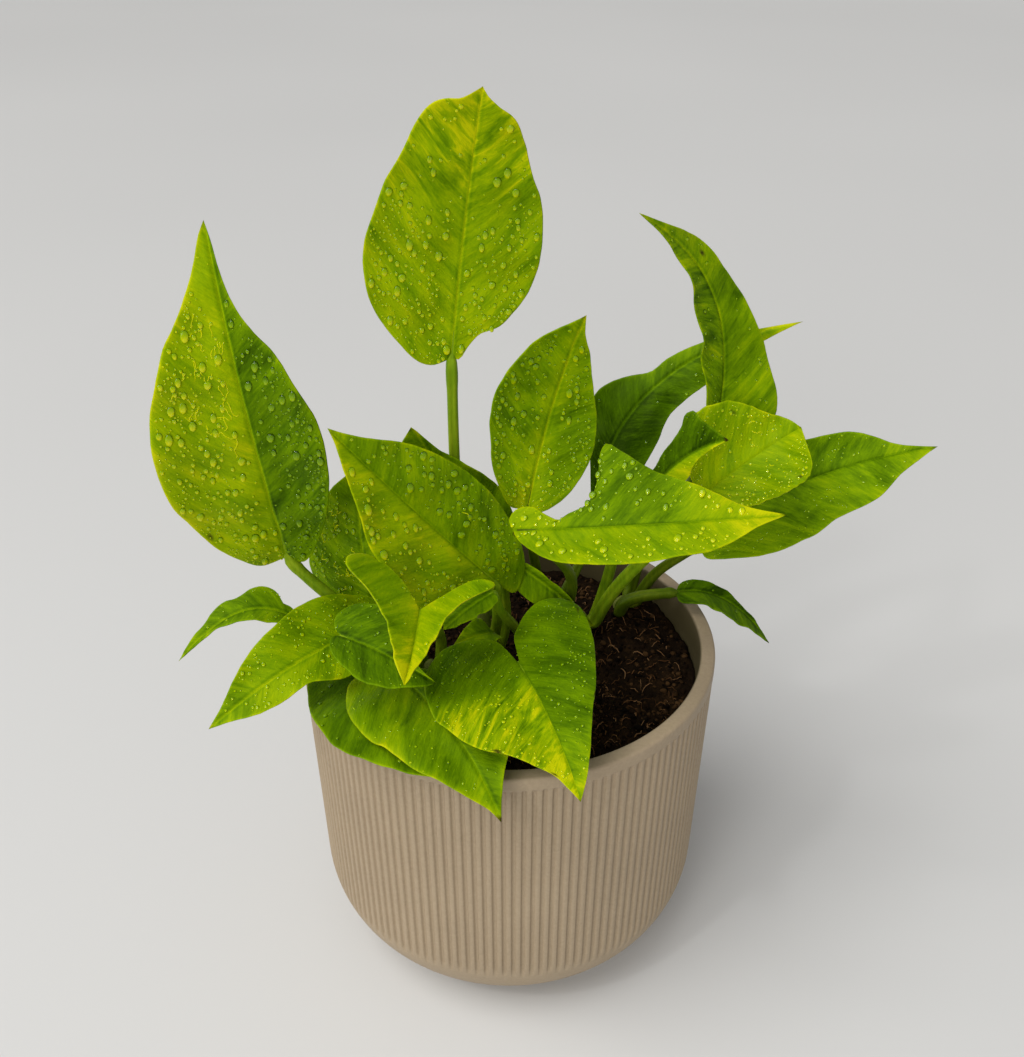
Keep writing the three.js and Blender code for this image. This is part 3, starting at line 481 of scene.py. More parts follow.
def tone_value(made):
    """The blade's tone: painted tone, streaks that follow the side veins, and broad blotches."""
    vein = made.attribute("vein")
    tone, brown, edge = made.parts(made.attribute("tone"))
    streak, blotch, shine = made.parts(made.attribute("mark"))
    across, flow, _ = made.parts(vein)
    fine = made.noise(made.scaled(vein, (0.1, 0.24, 1)), 1.0, 6.0, 0.66, 0.6)
    hatch = made.noise(made.scaled(vein, (0.16, 1.3, 1)), 1.0, 2.0, 0.5)
    broad = made.noise(made.scaled(vein, (0.055, 0.08, 1)), 1.0, 3.0, 0.55, 0.8)
    speckle = made.noise(made.scaled(vein, (0.9, 0.9, 1)), 1.0, 2.0, 0.6)
    value = tone
    for grain, amount in ((fine, streak), (broad, blotch), (speckle, 0.24), (hatch, 0.2)):
        value = made.math("MULTIPLY_ADD", made.math("SUBTRACT", grain, 0.5), amount, value)
    bent = made.math("MULTIPLY_ADD", broad, 9.0, flow)
    side_vein = made.spread(made.math("PINGPONG", bent, 3.6), 0.08, 0.3, 1.0, 0.0)
    rib = made.spread(across, 0.2, 0.55, 1.0, 0.0)
    # beside is a painted shade line along the groove next to the midrib.
    beside = made.math("MULTIPLY", made.spread(across, 0.5, 0.8), made.spread(across, 0.9, 1.7, 1.0, 0.0))
    rim = made.spread(edge, 0.2, 0.6, 1.0, 0.0)
    for line, lift in ((side_vein, 0.06), (rib, 0.14), (beside, -0.09), (rim, 0.12)):
        value = made.math("MULTIPLY_ADD", line, lift, value)
    return {"value": value, "brown": brown, "shine": shine, "fine": fine, "hatch": hatch,
            "speckle": speckle}


LEAF_STOPS = [
    (0.0, (0.022, 0.060, 0.0)), (0.25, (0.085, 0.185, 0.0)), (0.5, (0.190, 0.340, 0.0)),
    (0.75, (0.345, 0.490, 0.0)), (1.0, (0.640, 0.670, 0.002)),
]
THROUGH_STOPS = [(0.0, (0.08, 0.19, 0.0)), (0.5, (0.32, 0.52, 0.0)), (1.0, (0.80, 0.80, 0.0))]
UNDER_STOPS = [(0.0, (0.07, 0.13, 0.004)), (0.5, (0.17, 0.28, 0.008)), (1.0, (0.48, 0.50, 0.02))]


def leaf_top():
    made = Nodes("leaf_top")
    mark = tone_value(made)
    colour = made.mix(mark["brown"], made.ramp(mark["value"], LEAF_STOPS), (0.035, 0.018, 0.006))
    rough = made.spread(mark["shine"], 0.0, 1.0, 0.5, 0.2)
    rough = made.math("MULTIPLY_ADD", mark["fine"], 0.12, rough)
    height = made.math("MULTIPLY_ADD", mark["fine"], 0.6, mark["speckle"])
    height = made.math("MULTIPLY_ADD", mark["hatch"], 0.5, height)
    normal = made.bump(height, 0.5, 0.0003)
    skin = made.skin(colour, rough, Normal=normal, Specular_IOR_Level=0.18,
                     Specular_Tint=(0.8, 1.0, 0.25), IOR=1.4)
    through = made.ramp(mark["value"], THROUGH_STOPS)
    glow = made.node("BsdfTranslucent", {"Color": through, "Normal": normal}).outputs[0]
    return made.finish(made.blend(0.28, skin, glow))


def leaf_under():
    made = Nodes("leaf_under")
    mark = tone_value(made)
    colour = made.mix(mark["brown"], made.ramp(mark["value"], UNDER_STOPS), (0.05, 0.025, 0.01))
    normal = made.bump(made.math("ADD", mark["fine"], mark["speckle"]), 0.4, 0.0003)
    skin = made.skin(colour, 0.6, Normal=normal, Specular_IOR_Level=0.15,
                     Specular_Tint=(0.8, 1.0, 0.3), IOR=1.4)
    glow = made.node("BsdfTranslucent", {"Color": colour, "Normal": normal}).outputs[0]
    return made.finish(made.blend(0.3, skin, glow))


def halves(made, first, second):
    return made.math("MULTIPLY_ADD", first, 0.5, made.math("MULTIPLY", second, 0.5))


def stalk_skin(name, stops, roughness):
    made = Nodes(name)
    place = made.place()
    lines = made.noise(made.scaled(place, (900, 900, 60)), 1.0, 3.0, 0.6)
    colour = made.ramp(halves(made, lines, made.noise(place, 90, 3.0, 0.6)), stops)
    return made.finish(made.skin(colour, roughness, Normal=made.bump(lines, 0.3, 0.0003),
                                 Specular_IOR_Level=0.25, Specular_Tint=(0.85, 1.0, 0.3), IOR=1.4))


def pot_skin():
    """Cast matte taupe, with painted shade: the inner wall above the soil is mixed towards dark olive."""
    made = Nodes("pot_skin")
    place = made.place()
    grain = made.noise(place, 900, 3.0, 0.6)
    cloud = made.noise(place, 25, 3.0, 0.5)
    colour = made.ramp(halves(made, grain, cloud), [
        (0.3, (0.325, 0.248, 0.160)), (0.5, (0.372, 0.286, 0.187)), (0.7, (0.415, 0.324, 0.216))])
    radius = made.node("VectorMath", {0: made.scaled(place, (1, 1, 0))}, operation="LENGTH")
    wall = (POT_TOP_RADIUS - POT_WALL) * MM
    inner = made.spread(radius.outputs["Value"], wall - 0.0002, wall + 0.0008, 1.0, 0.0)
    # Painted shade: the inner wall is darkened to stand in for the shade that falls inside the pot.
    painted_inner_shade = made.math("MULTIPLY", inner, made.spread(made.parts(place)["Z"], 0.03, 0.05))
    colour = made.mix(made.math("MULTIPLY", painted_inner_shade, 0.9), colour, (0.055, 0.045, 0.012))
    return made.finish(made.skin(colour, made.spread(cloud, 0.3, 0.7, 0.52, 0.64),
                                 Normal=made.bump(grain, 0.25, 0.0002), Specular_IOR_Level=0.35))


def soil_skin(name, stops, bump):
    made = Nodes(name)
    place = made.place()
    grain = made.noise(place, 700, 4.0, 0.7)
    value = halves(made, grain, made.noise(place, 160, 3.0, 0.6))
    value = made.math("ADD", value, made.parts(made.attribute("own"))["X"])
    return made.finish(made.skin(made.ramp(value, stops), 0.85, Normal=made.bump(grain, bump, 0.001),
                                 Specular_IOR_Level=0.08))


def water_skin():
    """Clear water mixed with painted light: the leaf's colour is painted into each drop, lighter at its
    lower side as painted focused light and darker round its foot as a painted shade rim.
    """
    made = Nodes("water")
    rough = made.spread(made.noise(made.place(), 60, 1.0, 0.5), 0.2, 0.8, 0.0, 0.04)
    clear = made.skin((0.98, 1.0, 0.9), rough, Transmission_Weight=1.0, IOR=1.33,
                      Specular_IOR_Level=0.5)
    tone, low, foot = made.parts(made.attribute("own"))
    # Painted light and shade: the leaf's tone is made lighter towards the drop's lower side and darker
    # round its foot.
    value = made.math("MULTIPLY_ADD", low, 0.24, made.math("ADD", tone, 0.14))
    value = made.math("MULTIPLY_ADD", foot, -0.5, value)
    gathered = made.skin(made.ramp(value, LEAF_STOPS), 0.05, Specular_IOR_Level=0.4, IOR=1.33)
    return made.finish(made.blend(0.86, clear, gathered))


def floor_skin():
    made = Nodes("floor")
    cloud = made.noise(made.place(), 0.9, 2.0, 0.5)
    colour = made.ramp(cloud, [(0.3, (0.64, 0.64, 0.635)), (0.7, (0.68, 0.68, 0.675))])
    return made.finish(made.skin(colour, 0.7, Specular_IOR_Level=0.2))


LEAF_TOP = leaf_top()
LEAF_UNDER = leaf_under()
STALK_SKIN = stalk_skin("stalk_skin", [
    (0.3, (0.10, 0.20, 0.004)), (0.5, (0.18, 0.29, 0.006)), (0.7, (0.29, 0.38, 0.012))], 0.45)
# Painted shade: the same stalk skin at about half the brightness.
SHADED_STALK_SKIN = stalk_skin("shaded_stalk_skin", [
    (0.3, (0.042, 0.084, 0.002)), (0.5, (0.076, 0.122, 0.003)), (0.7, (0.122, 0.160, 0.005))], 0.45)
STEM_SKIN = stalk_skin("stem_skin", [
    (0.3, (0.09, 0.10, 0.02)), (0.5, (0.14, 0.17, 0.03)), (0.7, (0.22, 0.21, 0.06))], 0.6)
POT_SKIN = pot_skin()
SOIL_SKIN = soil_skin("soil_skin", [
    (0.3, (0.003, 0.0017, 0.0006)), (0.5, (0.012, 0.006, 0.0022)), (0.75, (0.05, 0.024, 0.008))], 0.9)
CRUMB_SKIN = soil_skin("crumb_skin", [
    (0.3, (0.003, 0.0015, 0.0006)), (0.55, (0.015, 0.007, 0.0026)), (0.95, (0.10, 0.05, 0.018))], 0.7)
FIBRE_SKIN = soil_skin("fibre_skin", [
    (0.3, (0.06, 0.026, 0.009)), (0.6, (0.17, 0.08, 0.03)), (0.95, (0.40, 0.23, 0.11))], 0.3)
WATER = water_skin()


# ---------------- pot

def wall_radius(z):
    share = (z - POT_CORNER) / (POT_HEIGHT - POT_CORNER)
    return POT_FOOT_RADIUS + (POT_TOP_RADIUS - POT_FOOT_RADIUS) * share


def corner_arc(wall, corner, floor, steps):
    return [(wall - corner + corner * math.sin(a), floor + corner - corner * math.cos(a))
            for a in np.linspace(0, math.pi / 2, steps + 1)]


def edge_arc(radius, start):
    """A quarter round of the rim, whose angle in degrees begins at start."""
    return [(radius + POT_EDGE * math.cos(a), POT_HEIGHT - POT_EDGE + POT_EDGE * math.sin(a))
            for a in np.radians(np.linspace(start, start + 90, 5))]


def pot_profile():
    """(radius, height) pairs from the middle of the underside, up the outside and down the inside."""
    outside = [(r, 0.0) for r in (8, 20, 30)] + corner_arc(POT_FOOT_RADIUS, POT_CORNER, 0, 22)
    wall = [36, 42, 60, 80, 98, 108, 111, 112, 112.6, 113.0, 113.3, 113.6, 113.9, 115.5]
    outside += [(wall_radius(z) if z < FLUTE_HIGH else POT_TOP_RADIUS, z) for z in wall]
    outside += edge_arc(POT_TOP_RADIUS - POT_EDGE, 0)
    inside = edge_arc(wall_radius(POT_HEIGHT) - POT_WALL + POT_EDGE, 90)
    inside += [(wall_radius(z) - POT_WALL, z) for z in (112, 104, 97, 80, 60, 44)]
    arc = corner_arc(wall_radius(POT_CORNER) - POT_WALL, POT_CORNER - POT_WALL, POT_FLOOR, 8)
    inside += [*reversed(arc), (12, POT_FLOOR)]
    return outside, inside


def make_pot():
    outside, inside = pot_profile()
    across, depths = np.array(FLUTE_SHAPE * FLUTES).T
    angles = 2 * math.pi * (np.repeat(np.arange(FLUTES), len(FLUTE_SHAPE)) + across) / FLUTES
    rings = []
    for index, (radius, z) in enumerate(outside + inside):
        low = smoothstep(FLUTE_LOW, FLUTE_LOW + 2.5, z)
        high = 1 - smoothstep(FLUTE_HIGH - 1.3, FLUTE_HIGH, z)
        cut = radius - FLUTE_DEPTH * depths * float(low * high) * (index < len(outside))
        rings.append(np.stack([cut * np.cos(angles), cut * np.sin(angles), np.full(len(angles), z)], 1))
    points, faces = capped(rings, (0, 0, 0), (0, 0, POT_FLOOR))
    add_piece("pot_body", points, faces, [POT_SKIN], "pot")


# ---------------- soil

def soil_height(x, y):
    rolling = SOIL_BUMP * math.sin(x * 0.11 + 1) * math.cos(y * 0.13)
    away = math.hypot(x - SOIL_MOUND[0], y - SOIL_MOUND[1]) / MOUND_SPREAD
    return SOIL_TOP + rolling + MOUND_HEIGHT * math.exp(-away * away)


def soil_rough(x, y):
    """The soil's height with lumps, grains and fine grit."""
    lumps = 1.3 * noise.noise(Vector((x * 0.22, y * 0.22, 3)))
    grains = 0.9 * noise.noise(Vector((x * 0.6, y * 0.6, 9)))
    grit = 0.5 * noise.noise(Vector((x * 1.5, y * 1.5, 5)))
    return soil_height(x, y) + lumps + grains + grit


def make_soil():
    edge = wall_radius(SOIL_TOP) - POT_WALL - 0.3
    turns = [(math.cos(a), math.sin(a)) for a in np.linspace(0, 2 * math.pi, SOIL_STEPS, endpoint=False)]
    rings = []
    for radius, z in ((30, 20), (55, 30), (62, 50), (edge - 0.4, SOIL_TOP - 8)):
        rings.append([(radius * x, radius * y, z) for x, y in turns])
    for radius in np.linspace(edge, 1.0, 62):
        rings.append([(radius * x, radius * y, soil_rough(radius * x, radius * y)) for x, y in turns])
    points, faces = capped(rings, (0, 0, 20), (0, 0, soil_rough(0, 0)))
    add_piece("soil_bed", points, faces, [SOIL_SKIN], "soil",
              layers={"own": np.zeros((len(points), 3))})


def crumb(generator, size):
    """A small angular lump: a bent octahedron with its edges split once."""
    axes = [(1, 0, 0), (-1, 0, 0), (0, 1, 0), (0, -1, 0), (0, 0, 1), (0, 0, -1)]
    corners = [(0, 2, 4), (2, 1, 4), (1, 3, 4), (3, 0, 4), (2, 0, 5), (1, 2, 5), (3, 1, 5), (0, 3, 5)]
    points = list(np.array(axes, float))
    middle = {}
    faces = []
    for a, b, c in corners:
        halfway = []
        for pair in ((a, b), (b, c), (c, a)):
            key = tuple(sorted(pair))
            if key not in middle:
                middle[key] = len(points)
                points.append(unit(points[pair[0]] + points[pair[1]]))
            halfway.append(middle[key])
        ab, bc, ca = halfway
        faces += [(a, ab, ca), (ab, b, bc), (ca, bc, c), (ab, bc, ca)]
    stretch = [generator.uniform(0.6, 1.3), generator.uniform(0.6, 1.3), generator.uniform(0.45, 0.9)]
    wobble = [generator.uniform(0.75, 1.2) for _ in points]
    points = np.array(points) * np.array(wobble)[:, None] * np.array(stretch) * size
    turn = generator.uniform(0, math.pi)
    spin = np.array([[math.cos(turn), -math.sin(turn), 0], [math.sin(turn), math.cos(turn), 0], [0, 0, 1]])
    return points @ spin.T, faces


def soil_spot(generator, clear):
    """A place on the soil, at least so far from the pot's wall."""
    radius = (wall_radius(SOIL_TOP) - POT_WALL - clear) * math.sqrt(generator.random())
    angle = generator.uniform(0, 2 * math.pi)
    return radius * math.cos(angle), radius * math.sin(angle)


def make_crumbs():
    generator = random.Random(CRUMB_SEED)
    gathered = Collector()
    for _ in range(CRUMBS):
        x, y = soil_spot(generator, 2)
        size = generator.choice(CRUMB_SIZES)
        points, faces = crumb(generator, size)
        gathered.add(points + np.array([x, y, soil_rough(x, y) + size * 0.25]), faces,
                     (generator.uniform(-0.3, 0.36), 0, 0))
    gathered.piece("soil_crumbs", CRUMB_SKIN)


def make_fibres():
    """Short pale fibres that arch over the soil."""
    generator = random.Random(FIBRE_SEED)
    gathered = Collector()
    shares = [k / FIBRE_STEPS for k in range(FIBRE_STEPS + 1)]
    for _ in range(FIBRES):
        x, y = soil_spot(generator, 5)
        heading = generator.uniform(0, 2 * math.pi)
        length = generator.choice(FIBRE_LENGTHS)
        bend = generator.uniform(-0.2, 0.2)
        lift = generator.uniform(0.1, 0.9)
        path = []
        for share in shares:
            path.append((x, y, soil_rough(x, y) + 0.25 + lift * math.sin(share * math.pi)))
            x += math.cos(heading) * length / FIBRE_STEPS
            y += math.sin(heading) * length / FIBRE_STEPS
            heading += bend + generator.uniform(-0.12, 0.12)
        thick = generator.uniform(0.08, 0.22)
        radii = [thick * (0.5 + math.sin(math.pi * (0.1 + 0.8 * share)) * 0.5) for share in shares]
        points, faces = swept(path, radii, 5, (0, 0, 1))
        gathered.add(points, faces, (generator.uniform(-0.25, 0.3), 0, 0))
    gathered.piece("soil_fibres", FIBRE_SKIN)


# ---------------- leaf blades

def catmull_margin(pairs, steps=40):
    """Even steps along the centripetal curve through the margin's points."""
    knots = np.array([[0, 0], *pairs, [0, 1]], float) * (1, 50)
    knots = np.vstack([2 * knots[0] - knots[1], knots, 2 * knots[-1] - knots[-2]])
    line = []
    for k in range(1, len(knots) - 2):
        p0, p1, p2, p3 = knots[k - 1:k + 3]
        d0, d1, d2 = (max(np.linalg.norm(b - a) ** 0.5, 1e-4) for a, b in ((p0, p1), (p1, p2), (p2, p3)))
        t1 = ((p1 - p0) / d0 - (p2 - p0) / (d0 + d1) + (p2 - p1) / d1) * d1
        t2 = ((p2 - p1) / d1 - (p3 - p1) / (d1 + d2) + (p3 - p2) / d2) * d1
        for t in np.linspace(0, 1, steps, endpoint=False):
            square, cube = t * t, t * t * t
            line.append(p1 * (2 * cube - 3 * square + 1) + t1 * (cube - 2 * square + t)
                        + p2 * (3 * square - 2 * cube) + t2 * (cube - square))
    line = np.array([*line, knots[-2]])
    lengths = np.concatenate([[0], np.cumsum(np.linalg.norm(np.diff(line, axis=0), axis=1))])
    return lengths / lengths[-1], line / (1, 50)


class Blade:
    """The middle sheet of one leaf, and places on it. Half 0 is its left, half 1 its right."""

    def __init__(self, name, leaf):
        self.name = name
        self.leaf = leaf
        self.look = {**PLAIN, **LOOKS[name]}
        self.seed = 10 * (1 + list(LEAVES).index(name))
        base, mid, tip = (np.array(leaf[key], float) for key in ("base", "mid", "tip"))
        pull = 2 * mid - (base + tip) / 2
        t = np.linspace(0, 1, 241)[:, None]
        self.line = (1 - t) ** 2 * base + 2 * t * (1 - t) * pull + t * t * tip
        self.slope = unit(2 * (1 - t) * (pull - base) + 2 * t * (tip - pull))
        steps = np.linalg.norm(np.diff(self.line, axis=0), axis=1)
        self.along = np.concatenate([[0], np.cumsum(steps)])
        self.length = self.along[-1]
        self.along = self.along / self.length
        self.face = unit(leaf["face"])
        self.margins = [catmull_margin(leaf["left"]), catmull_margin(leaf["right"])]

    def edge(self, half, share):
        """The margin, across in millimetres and along as a share, at a share of its own length."""
        places, line = self.margins[half]
        across = np.interp(share, places, line[:, 0])
        along = np.interp(share, places, line[:, 1])
        wobble = 0.7 * np.sin(share * 171 + 2 * self.seed) * np.sin(share * 31)
        wobble = np.sin(share * 97 + self.seed) + wobble
        return across + self.look["ragged"] * wobble * np.clip(across / 4, 0, 1), along

    def frame(self, along):
        """Points of the midrib, with the way it runs and the way its upper side looks."""
        share = np.clip(along, 0, 1)
        point = np.stack([np.interp(share, self.along, self.line[:, k]) for k in range(3)], -1)
        tangent = unit(np.stack([np.interp(share, self.along, self.slope[:, k]) for k in range(3)], -1))
        point = point + tangent * (np.minimum(along, 0) * self.length)[..., None]
        up = unit(self.face - tangent * (tangent @ self.face)[..., None])
        return point, tangent, up

    def place(self, half, share, out):
        """Points, normals and surface coordinates of the sheet, for row shares and shares out."""
        share, out = np.broadcast_arrays(np.asarray(share, float), np.asarray(out, float))
        margin, margin_along = self.edge(half, share)
        across = margin * out
        along = share ** BLADE_SWEEP * (1 - out) + margin_along * out
        inset = np.abs(margin) * (1 - out)
        point, tangent, up = self.frame(along)
        side = 2 * half - 1
        outward = np.cross(tangent, up) * side
        fold = math.radians(self.leaf["fold"][half])
        curl = math.radians(self.leaf.get("curl", NO_CURL)[half] or 0.01) / CURL_SPAN
        angle = fold + curl * across
        point = point + outward * ((np.sin(angle) - math.sin(fold)) / curl)[..., None]
        point = point + up * ((math.cos(fold) - np.cos(angle)) / curl)[..., None]
        normal = up * np.cos(angle)[..., None] - outward * np.sin(angle)[..., None]
        reach = np.abs(across)
        flow = along * self.length - 0.75 * reach - 0.012 * reach * reach
        swell = self.relief(side, reach, flow, along, out)
        return point + normal * swell[..., None], normal, (along, inset, reach, flow)

    def relief(self, side, reach, flow, along, out):
        """How far the sheet rises: quilting between the side veins, a slow roll and a wavy margin."""
        width = np.clip(reach / 6, 0, 1)
        ribs = -np.abs(np.sin(flow * math.pi / 9 + self.seed + np.sin(reach * 0.2)))
        quilt = ribs * self.look["veins"] * width * (1 - out ** 4)
        roll = np.sin(reach * 0.31 + flow * 0.17 + self.seed * side)
        roll = self.look["roll"] * roll * np.sin(flow * 0.13 + self.seed * 0.7) * width
        ripple = np.sin(along * 23 + side * self.seed) + 0.6 * np.sin(along * 41 + self.seed)
        wave = self.look["wave"] * ripple * out ** 4 * np.sin(np.clip(along, 0, 1) * math.pi) ** 0.5
        return quilt + roll + wave * 0.8

    def paint(self, half, coordinates):
        """The tone, how brown it is, and how streaky, at each place."""
        look = self.look
        along, inset, reach, _ = coordinates
        tone = np.full(along.shape, float(look["tone"]))
        # Partly own colour, partly painted light and shade: each half is shifted by its left or right
        # amount.
        tone = tone + look["right" if half else "left"] * smoothstep(0, 0.8, reach)
        tone = tone + look["margin"] * np.exp(-(inset / MARGIN_BAND) ** 2)
        tone = tone + look["tip"] * smoothstep(0.6, 1.0, along)
        tone = tone + look["base"] * (1 - smoothstep(0, 0.3, along))
        tone = tone + look["middle"] * np.exp(-(reach / MIDDLE_BAND) ** 2)
        brown = smoothstep(look["brown_tip"] - 0.012, look["brown_tip"] + 0.008, along)
        streak = np.full(along.shape, float(look["streak"]))
        for side, low, high, more_streak, more_tone in look["marble"]:
            if side in (0, 2 * half - 1):
                share = smoothstep(low, low + 0.2, along) * (1 - smoothstep(high, high + 0.15, along))
                tone = tone + more_tone * share
                streak = streak + more_streak * share
        return tone, brown, streak

    def spot_brown(self, points):
        """How brown the listed spots make each point."""
        brown = np.zeros(len(points))
        row = np.linspace(0, 1, 400)
        for side, out, share, radius in self.look["spots"]:
            half = int(side > 0)
            nearest = row[np.argmin(np.abs(self.edge(half, row)[1] - share))]
            gap = np.linalg.norm(points - self.place(half, nearest, out)[0], axis=1)
            brown = np.maximum(brown, 1 - smoothstep(radius * 0.6, radius * 1.1, gap))
        return brown


def make_blade(blade):
    look = blade.look
    rows = 64 if blade.length > 45 else 40
    shares = np.arange(1, rows) / rows
    outs = np.concatenate([-COLUMN_OUTS[::-1], [0], COLUMN_OUTS])
    width = len(outs)
    middle = len(COLUMN_OUTS)
    point, normal, vein, tone, mark = np.zeros((5, rows - 1, width, 3))
    reach, inset = np.zeros((2, rows - 1, width))
    for half, columns in ((0, slice(0, middle + 1)), (1, slice(middle, width))):
        points, normals, coordinates = blade.place(half, shares[:, None], np.abs(outs[columns])[None, :])
        painted, brown, streak = blade.paint(half, coordinates)
        _, near, away, flow = coordinates
        same = np.ones(near.shape)
        point[:, columns] = points
        normal[:, columns] += normals
        reach[:, columns] = away
        inset[:, columns] = near
        vein[:, columns] = np.stack([away + look["bare"], flow, same * (blade.seed + 80 * half - 40)], -1)
        tone[:, columns] = np.stack([painted, brown, near], -1)
        mark[:, columns] = np.stack([streak, same * look["blotch"], same * look["shine"]], -1)
    normal = unit(normal)
    taper = np.clip(smoothstep(0, 0.06, shares) * smoothstep(0, 0.06, 1 - shares), 0.25, 1)[:, None]
    thick = BLADE_HALF * np.sqrt(np.clip(1 - (1 - np.clip(inset / RIM_ROUND, 0, 1)) ** 2, 0, 1)) * taper
    thick[:, [0, -1]] = 0
    groove = BLADE_GROOVE * np.exp(-(reach / 0.55) ** 2) * taper
    rib = BLADE_RIB * np.exp(-(reach / 1.0) ** 2) * taper * (1 - 0.6 * shares[:, None])
    upper = point + normal * (thick - groove)[..., None]
    lower = point - normal * (thick + rib)[..., None]
    points = np.vstack([upper.reshape(-1, 3), lower.reshape(-1, 3), blade.line[[0, -1]]])
    layers = {}
    for label, values in (("vein", vein), ("tone", tone), ("mark", mark)):
        flat = values.reshape(-1, 3)
        layers[label] = np.vstack([flat, flat, flat[[middle, -1 - middle]]])
    layers["tone"][:, 1] = np.maximum(layers["tone"][:, 1], blade.spot_brown(points))
    used, faces = blade_faces(rows - 1, width)
    kinds = np.repeat((0, 1), len(faces) // 2)
    layers = {label: values[used] for label, values in layers.items()}
    add_piece("blade_" + blade.name, points[used], faces, [LEAF_TOP, LEAF_UNDER],
              "leaf_" + blade.name, kinds, layers)


def blade_faces(rows, width):
    """The points in use, and faces of two sheets that share their margin and both ends."""
    count = rows * width
    grid = np.zeros((2, rows + 2, width), int)
    grid[:, 1:-1] = np.arange(2 * count).reshape(2, rows, width)
    grid[1, :, [0, -1]] = grid[0, :, [0, -1]]
    grid[:, 0] = 2 * count
    grid[:, -1] = 2 * count + 1
    used, renamed = np.unique(grid, return_inverse=True)
    faces = []
    for sheet, order in zip(renamed.reshape(grid.shape), (1, -1)):
        for row, (near, far) in enumerate(zip(sheet, sheet[1:])):
            for a, b, c, d in zip(near, near[1:], far[1:], far):
                face = (a, c, d) if row == 0 else (a, b, c) if row == rows else (a, b, c, d)
                faces.append(face[::order])
    return used, faces


# ---------------- stems and stalks

def stem_point(stem, height):
    bend = max(height, 0) / stem["rise"]
    x, y = stem["foot"]
    return np.array([x + stem["lean"][0] * bend, y + stem["lean"][1] * bend, soil_height(x, y) + height])


def make_stem(name, stem):
    """A short rod with one raised ring and a rounded end."""
    heights = np.linspace(-20, stem["rise"] + 0.6, 26)
    radii = []
    for height in heights:
        ring = 0.35 * math.exp(-((height - stem["rise"] * 0.45) / 1.1) ** 2)
        end = 1 - 0.55 * float(smoothstep(stem["rise"] - 1.5, stem["rise"] + 0.7, height))
        radii.append((STEM_RADIUS - max(height, 0) * 0.03 + ring) * end)

    def shape(angles, share):
        return 1 + 0.04 * np.sin(angles * 3 + share * 5) + 0.03 * np.sin(angles * 7)

    path = [stem_point(stem, height) for height in heights]
    points, faces = swept(path, radii, 20, (1, 0, 0), shape)
    add_piece("vine_" + name, points, faces, [STEM_SKIN], "stem_" + name)


def stalk_path(leaf, blade, thick):
    """From inside the stem, in one curve to the blade, and on under its midrib."""
    stem_name, height, side = leaf["stalk"]
    at_stem = stem_point(STEMS[stem_name], height)
    turn = math.radians(side)
    outward = np.array([math.cos(turn), math.sin(turn), 0])
    start = at_stem + outward * (STEM_RADIUS + thick + 0.35)
    last = unit(leaf["end"])
    finish = np.array(leaf["base"], float) - last * STALK_GAP
    span = np.linalg.norm(start - finish) * STALK_LEAN
    first = unit(outward * 0.35 + np.array([0, 0, 1]))
    t = np.linspace(0, 1, 34)[:, None]
    path = ((1 - t) ** 3 * start + 3 * t * (1 - t) ** 2 * (start + first * span)
            + 3 * t * t * (1 - t) * (finish - last * span) + t ** 3 * finish)
    root = at_stem + outward * 1.2 - np.array([0, 0, 2.5])
    foot = [root, (root + start) / 2 + outward * 0.3]
    point, _, up = blade.frame(np.linspace(0.02, 0.2, 7))
    under = point - up * np.linspace(0.9, 0.55, 7)[:, None]
    return np.vstack([foot, path, under])


def make_stalk(name, leaf, blade):
    thick, thin = leaf.get("girth", STALK_GIRTH)
    path = stalk_path(leaf, blade, thick)
    place = np.linspace(0, 1, len(path))
    radii = thick + (thin - thick) * place
    radii = radii * (1 + 0.16 * np.exp(-((place - 0.8) / 0.03) ** 2))
    radii[-7:] = np.linspace(1.1, 0.35, 7)
    radii[0] = 1.1

    def shape(angles, share):
        """A channel along the upper side, between two low wings that fade towards the blade."""
        turned = (angles + math.pi) % (2 * math.pi) - math.pi
        channel = -0.3 * np.exp(-(turned / 0.42) ** 2) * float(1 - smoothstep(0.82, 0.9, share))
        ridges = np.exp(-((turned - 0.95) / 0.25) ** 2) + np.exp(-((turned + 0.95) / 0.25) ** 2)
        return 1 + channel + 0.1 * float(1 - smoothstep(0.55, 0.75, share)) * ridges

    up = blade.frame(np.array([0.05]))[2][0]
    points, faces = swept(path, radii, 24, transported(path[::-1], up)[1][-1], shape)
    skin = SHADED_STALK_SKIN if name in SHADED_STALKS else STALK_SKIN
    add_piece("petiole_" + name, points, faces, [skin], "stalk_" + name)


# ---------------- water

def drop_shape(centre, normal, downhill, radius, stretch, lean, wobble):
    """A closed water drop: a dome that bulges towards its lower end."""
    beside = np.cross(normal, downhill)
    angles = np.linspace(0, 2 * math.pi, 18 if radius > 0.6 else 12, endpoint=False)
    height = radius * DROP_HEIGHT
    rings = []
    for spread, rise in DROP_RINGS:
        outline = spread * (1 + wobble * np.sin(angles * 2 + radius * 9) + wobble * np.cos(angles * 3))
        down = radius * (outline * np.cos(angles) * stretch + lean * max(rise, 0))
        aside = radius * outline * np.sin(angles)
        up = height * rise if rise > 0 else rise
        rings.append(centre + downhill * down[:, None] + beside * aside[:, None] + normal * up)
    high = centre + normal * height + downhill * radius * lean
    points, faces = capped(rings, centre - normal * 0.1, high)
    # Masks for the drop shader's painted light on the lower side and painted shade round the foot, which is
    # the base ring.
    painted_light_downhill = np.clip((points - centre) @ downhill / radius, -1, 1.2)
    foot = [max(1 - max(rise, 0) / 0.7, 0) for _, rise in DROP_RINGS for _ in angles] + [1.0, 0.0]
    return points, faces, painted_light_downhill, foot


def surface(blade, half, share, out):
    """A point on the blade's upper side, with its normal, surface coordinates and tone."""
    point, normal, coordinates = blade.place(half, share, out)
    tone = float(blade.paint(half, coordinates)[0])
    return point + normal * BLADE_HALF, normal, coordinates, tone


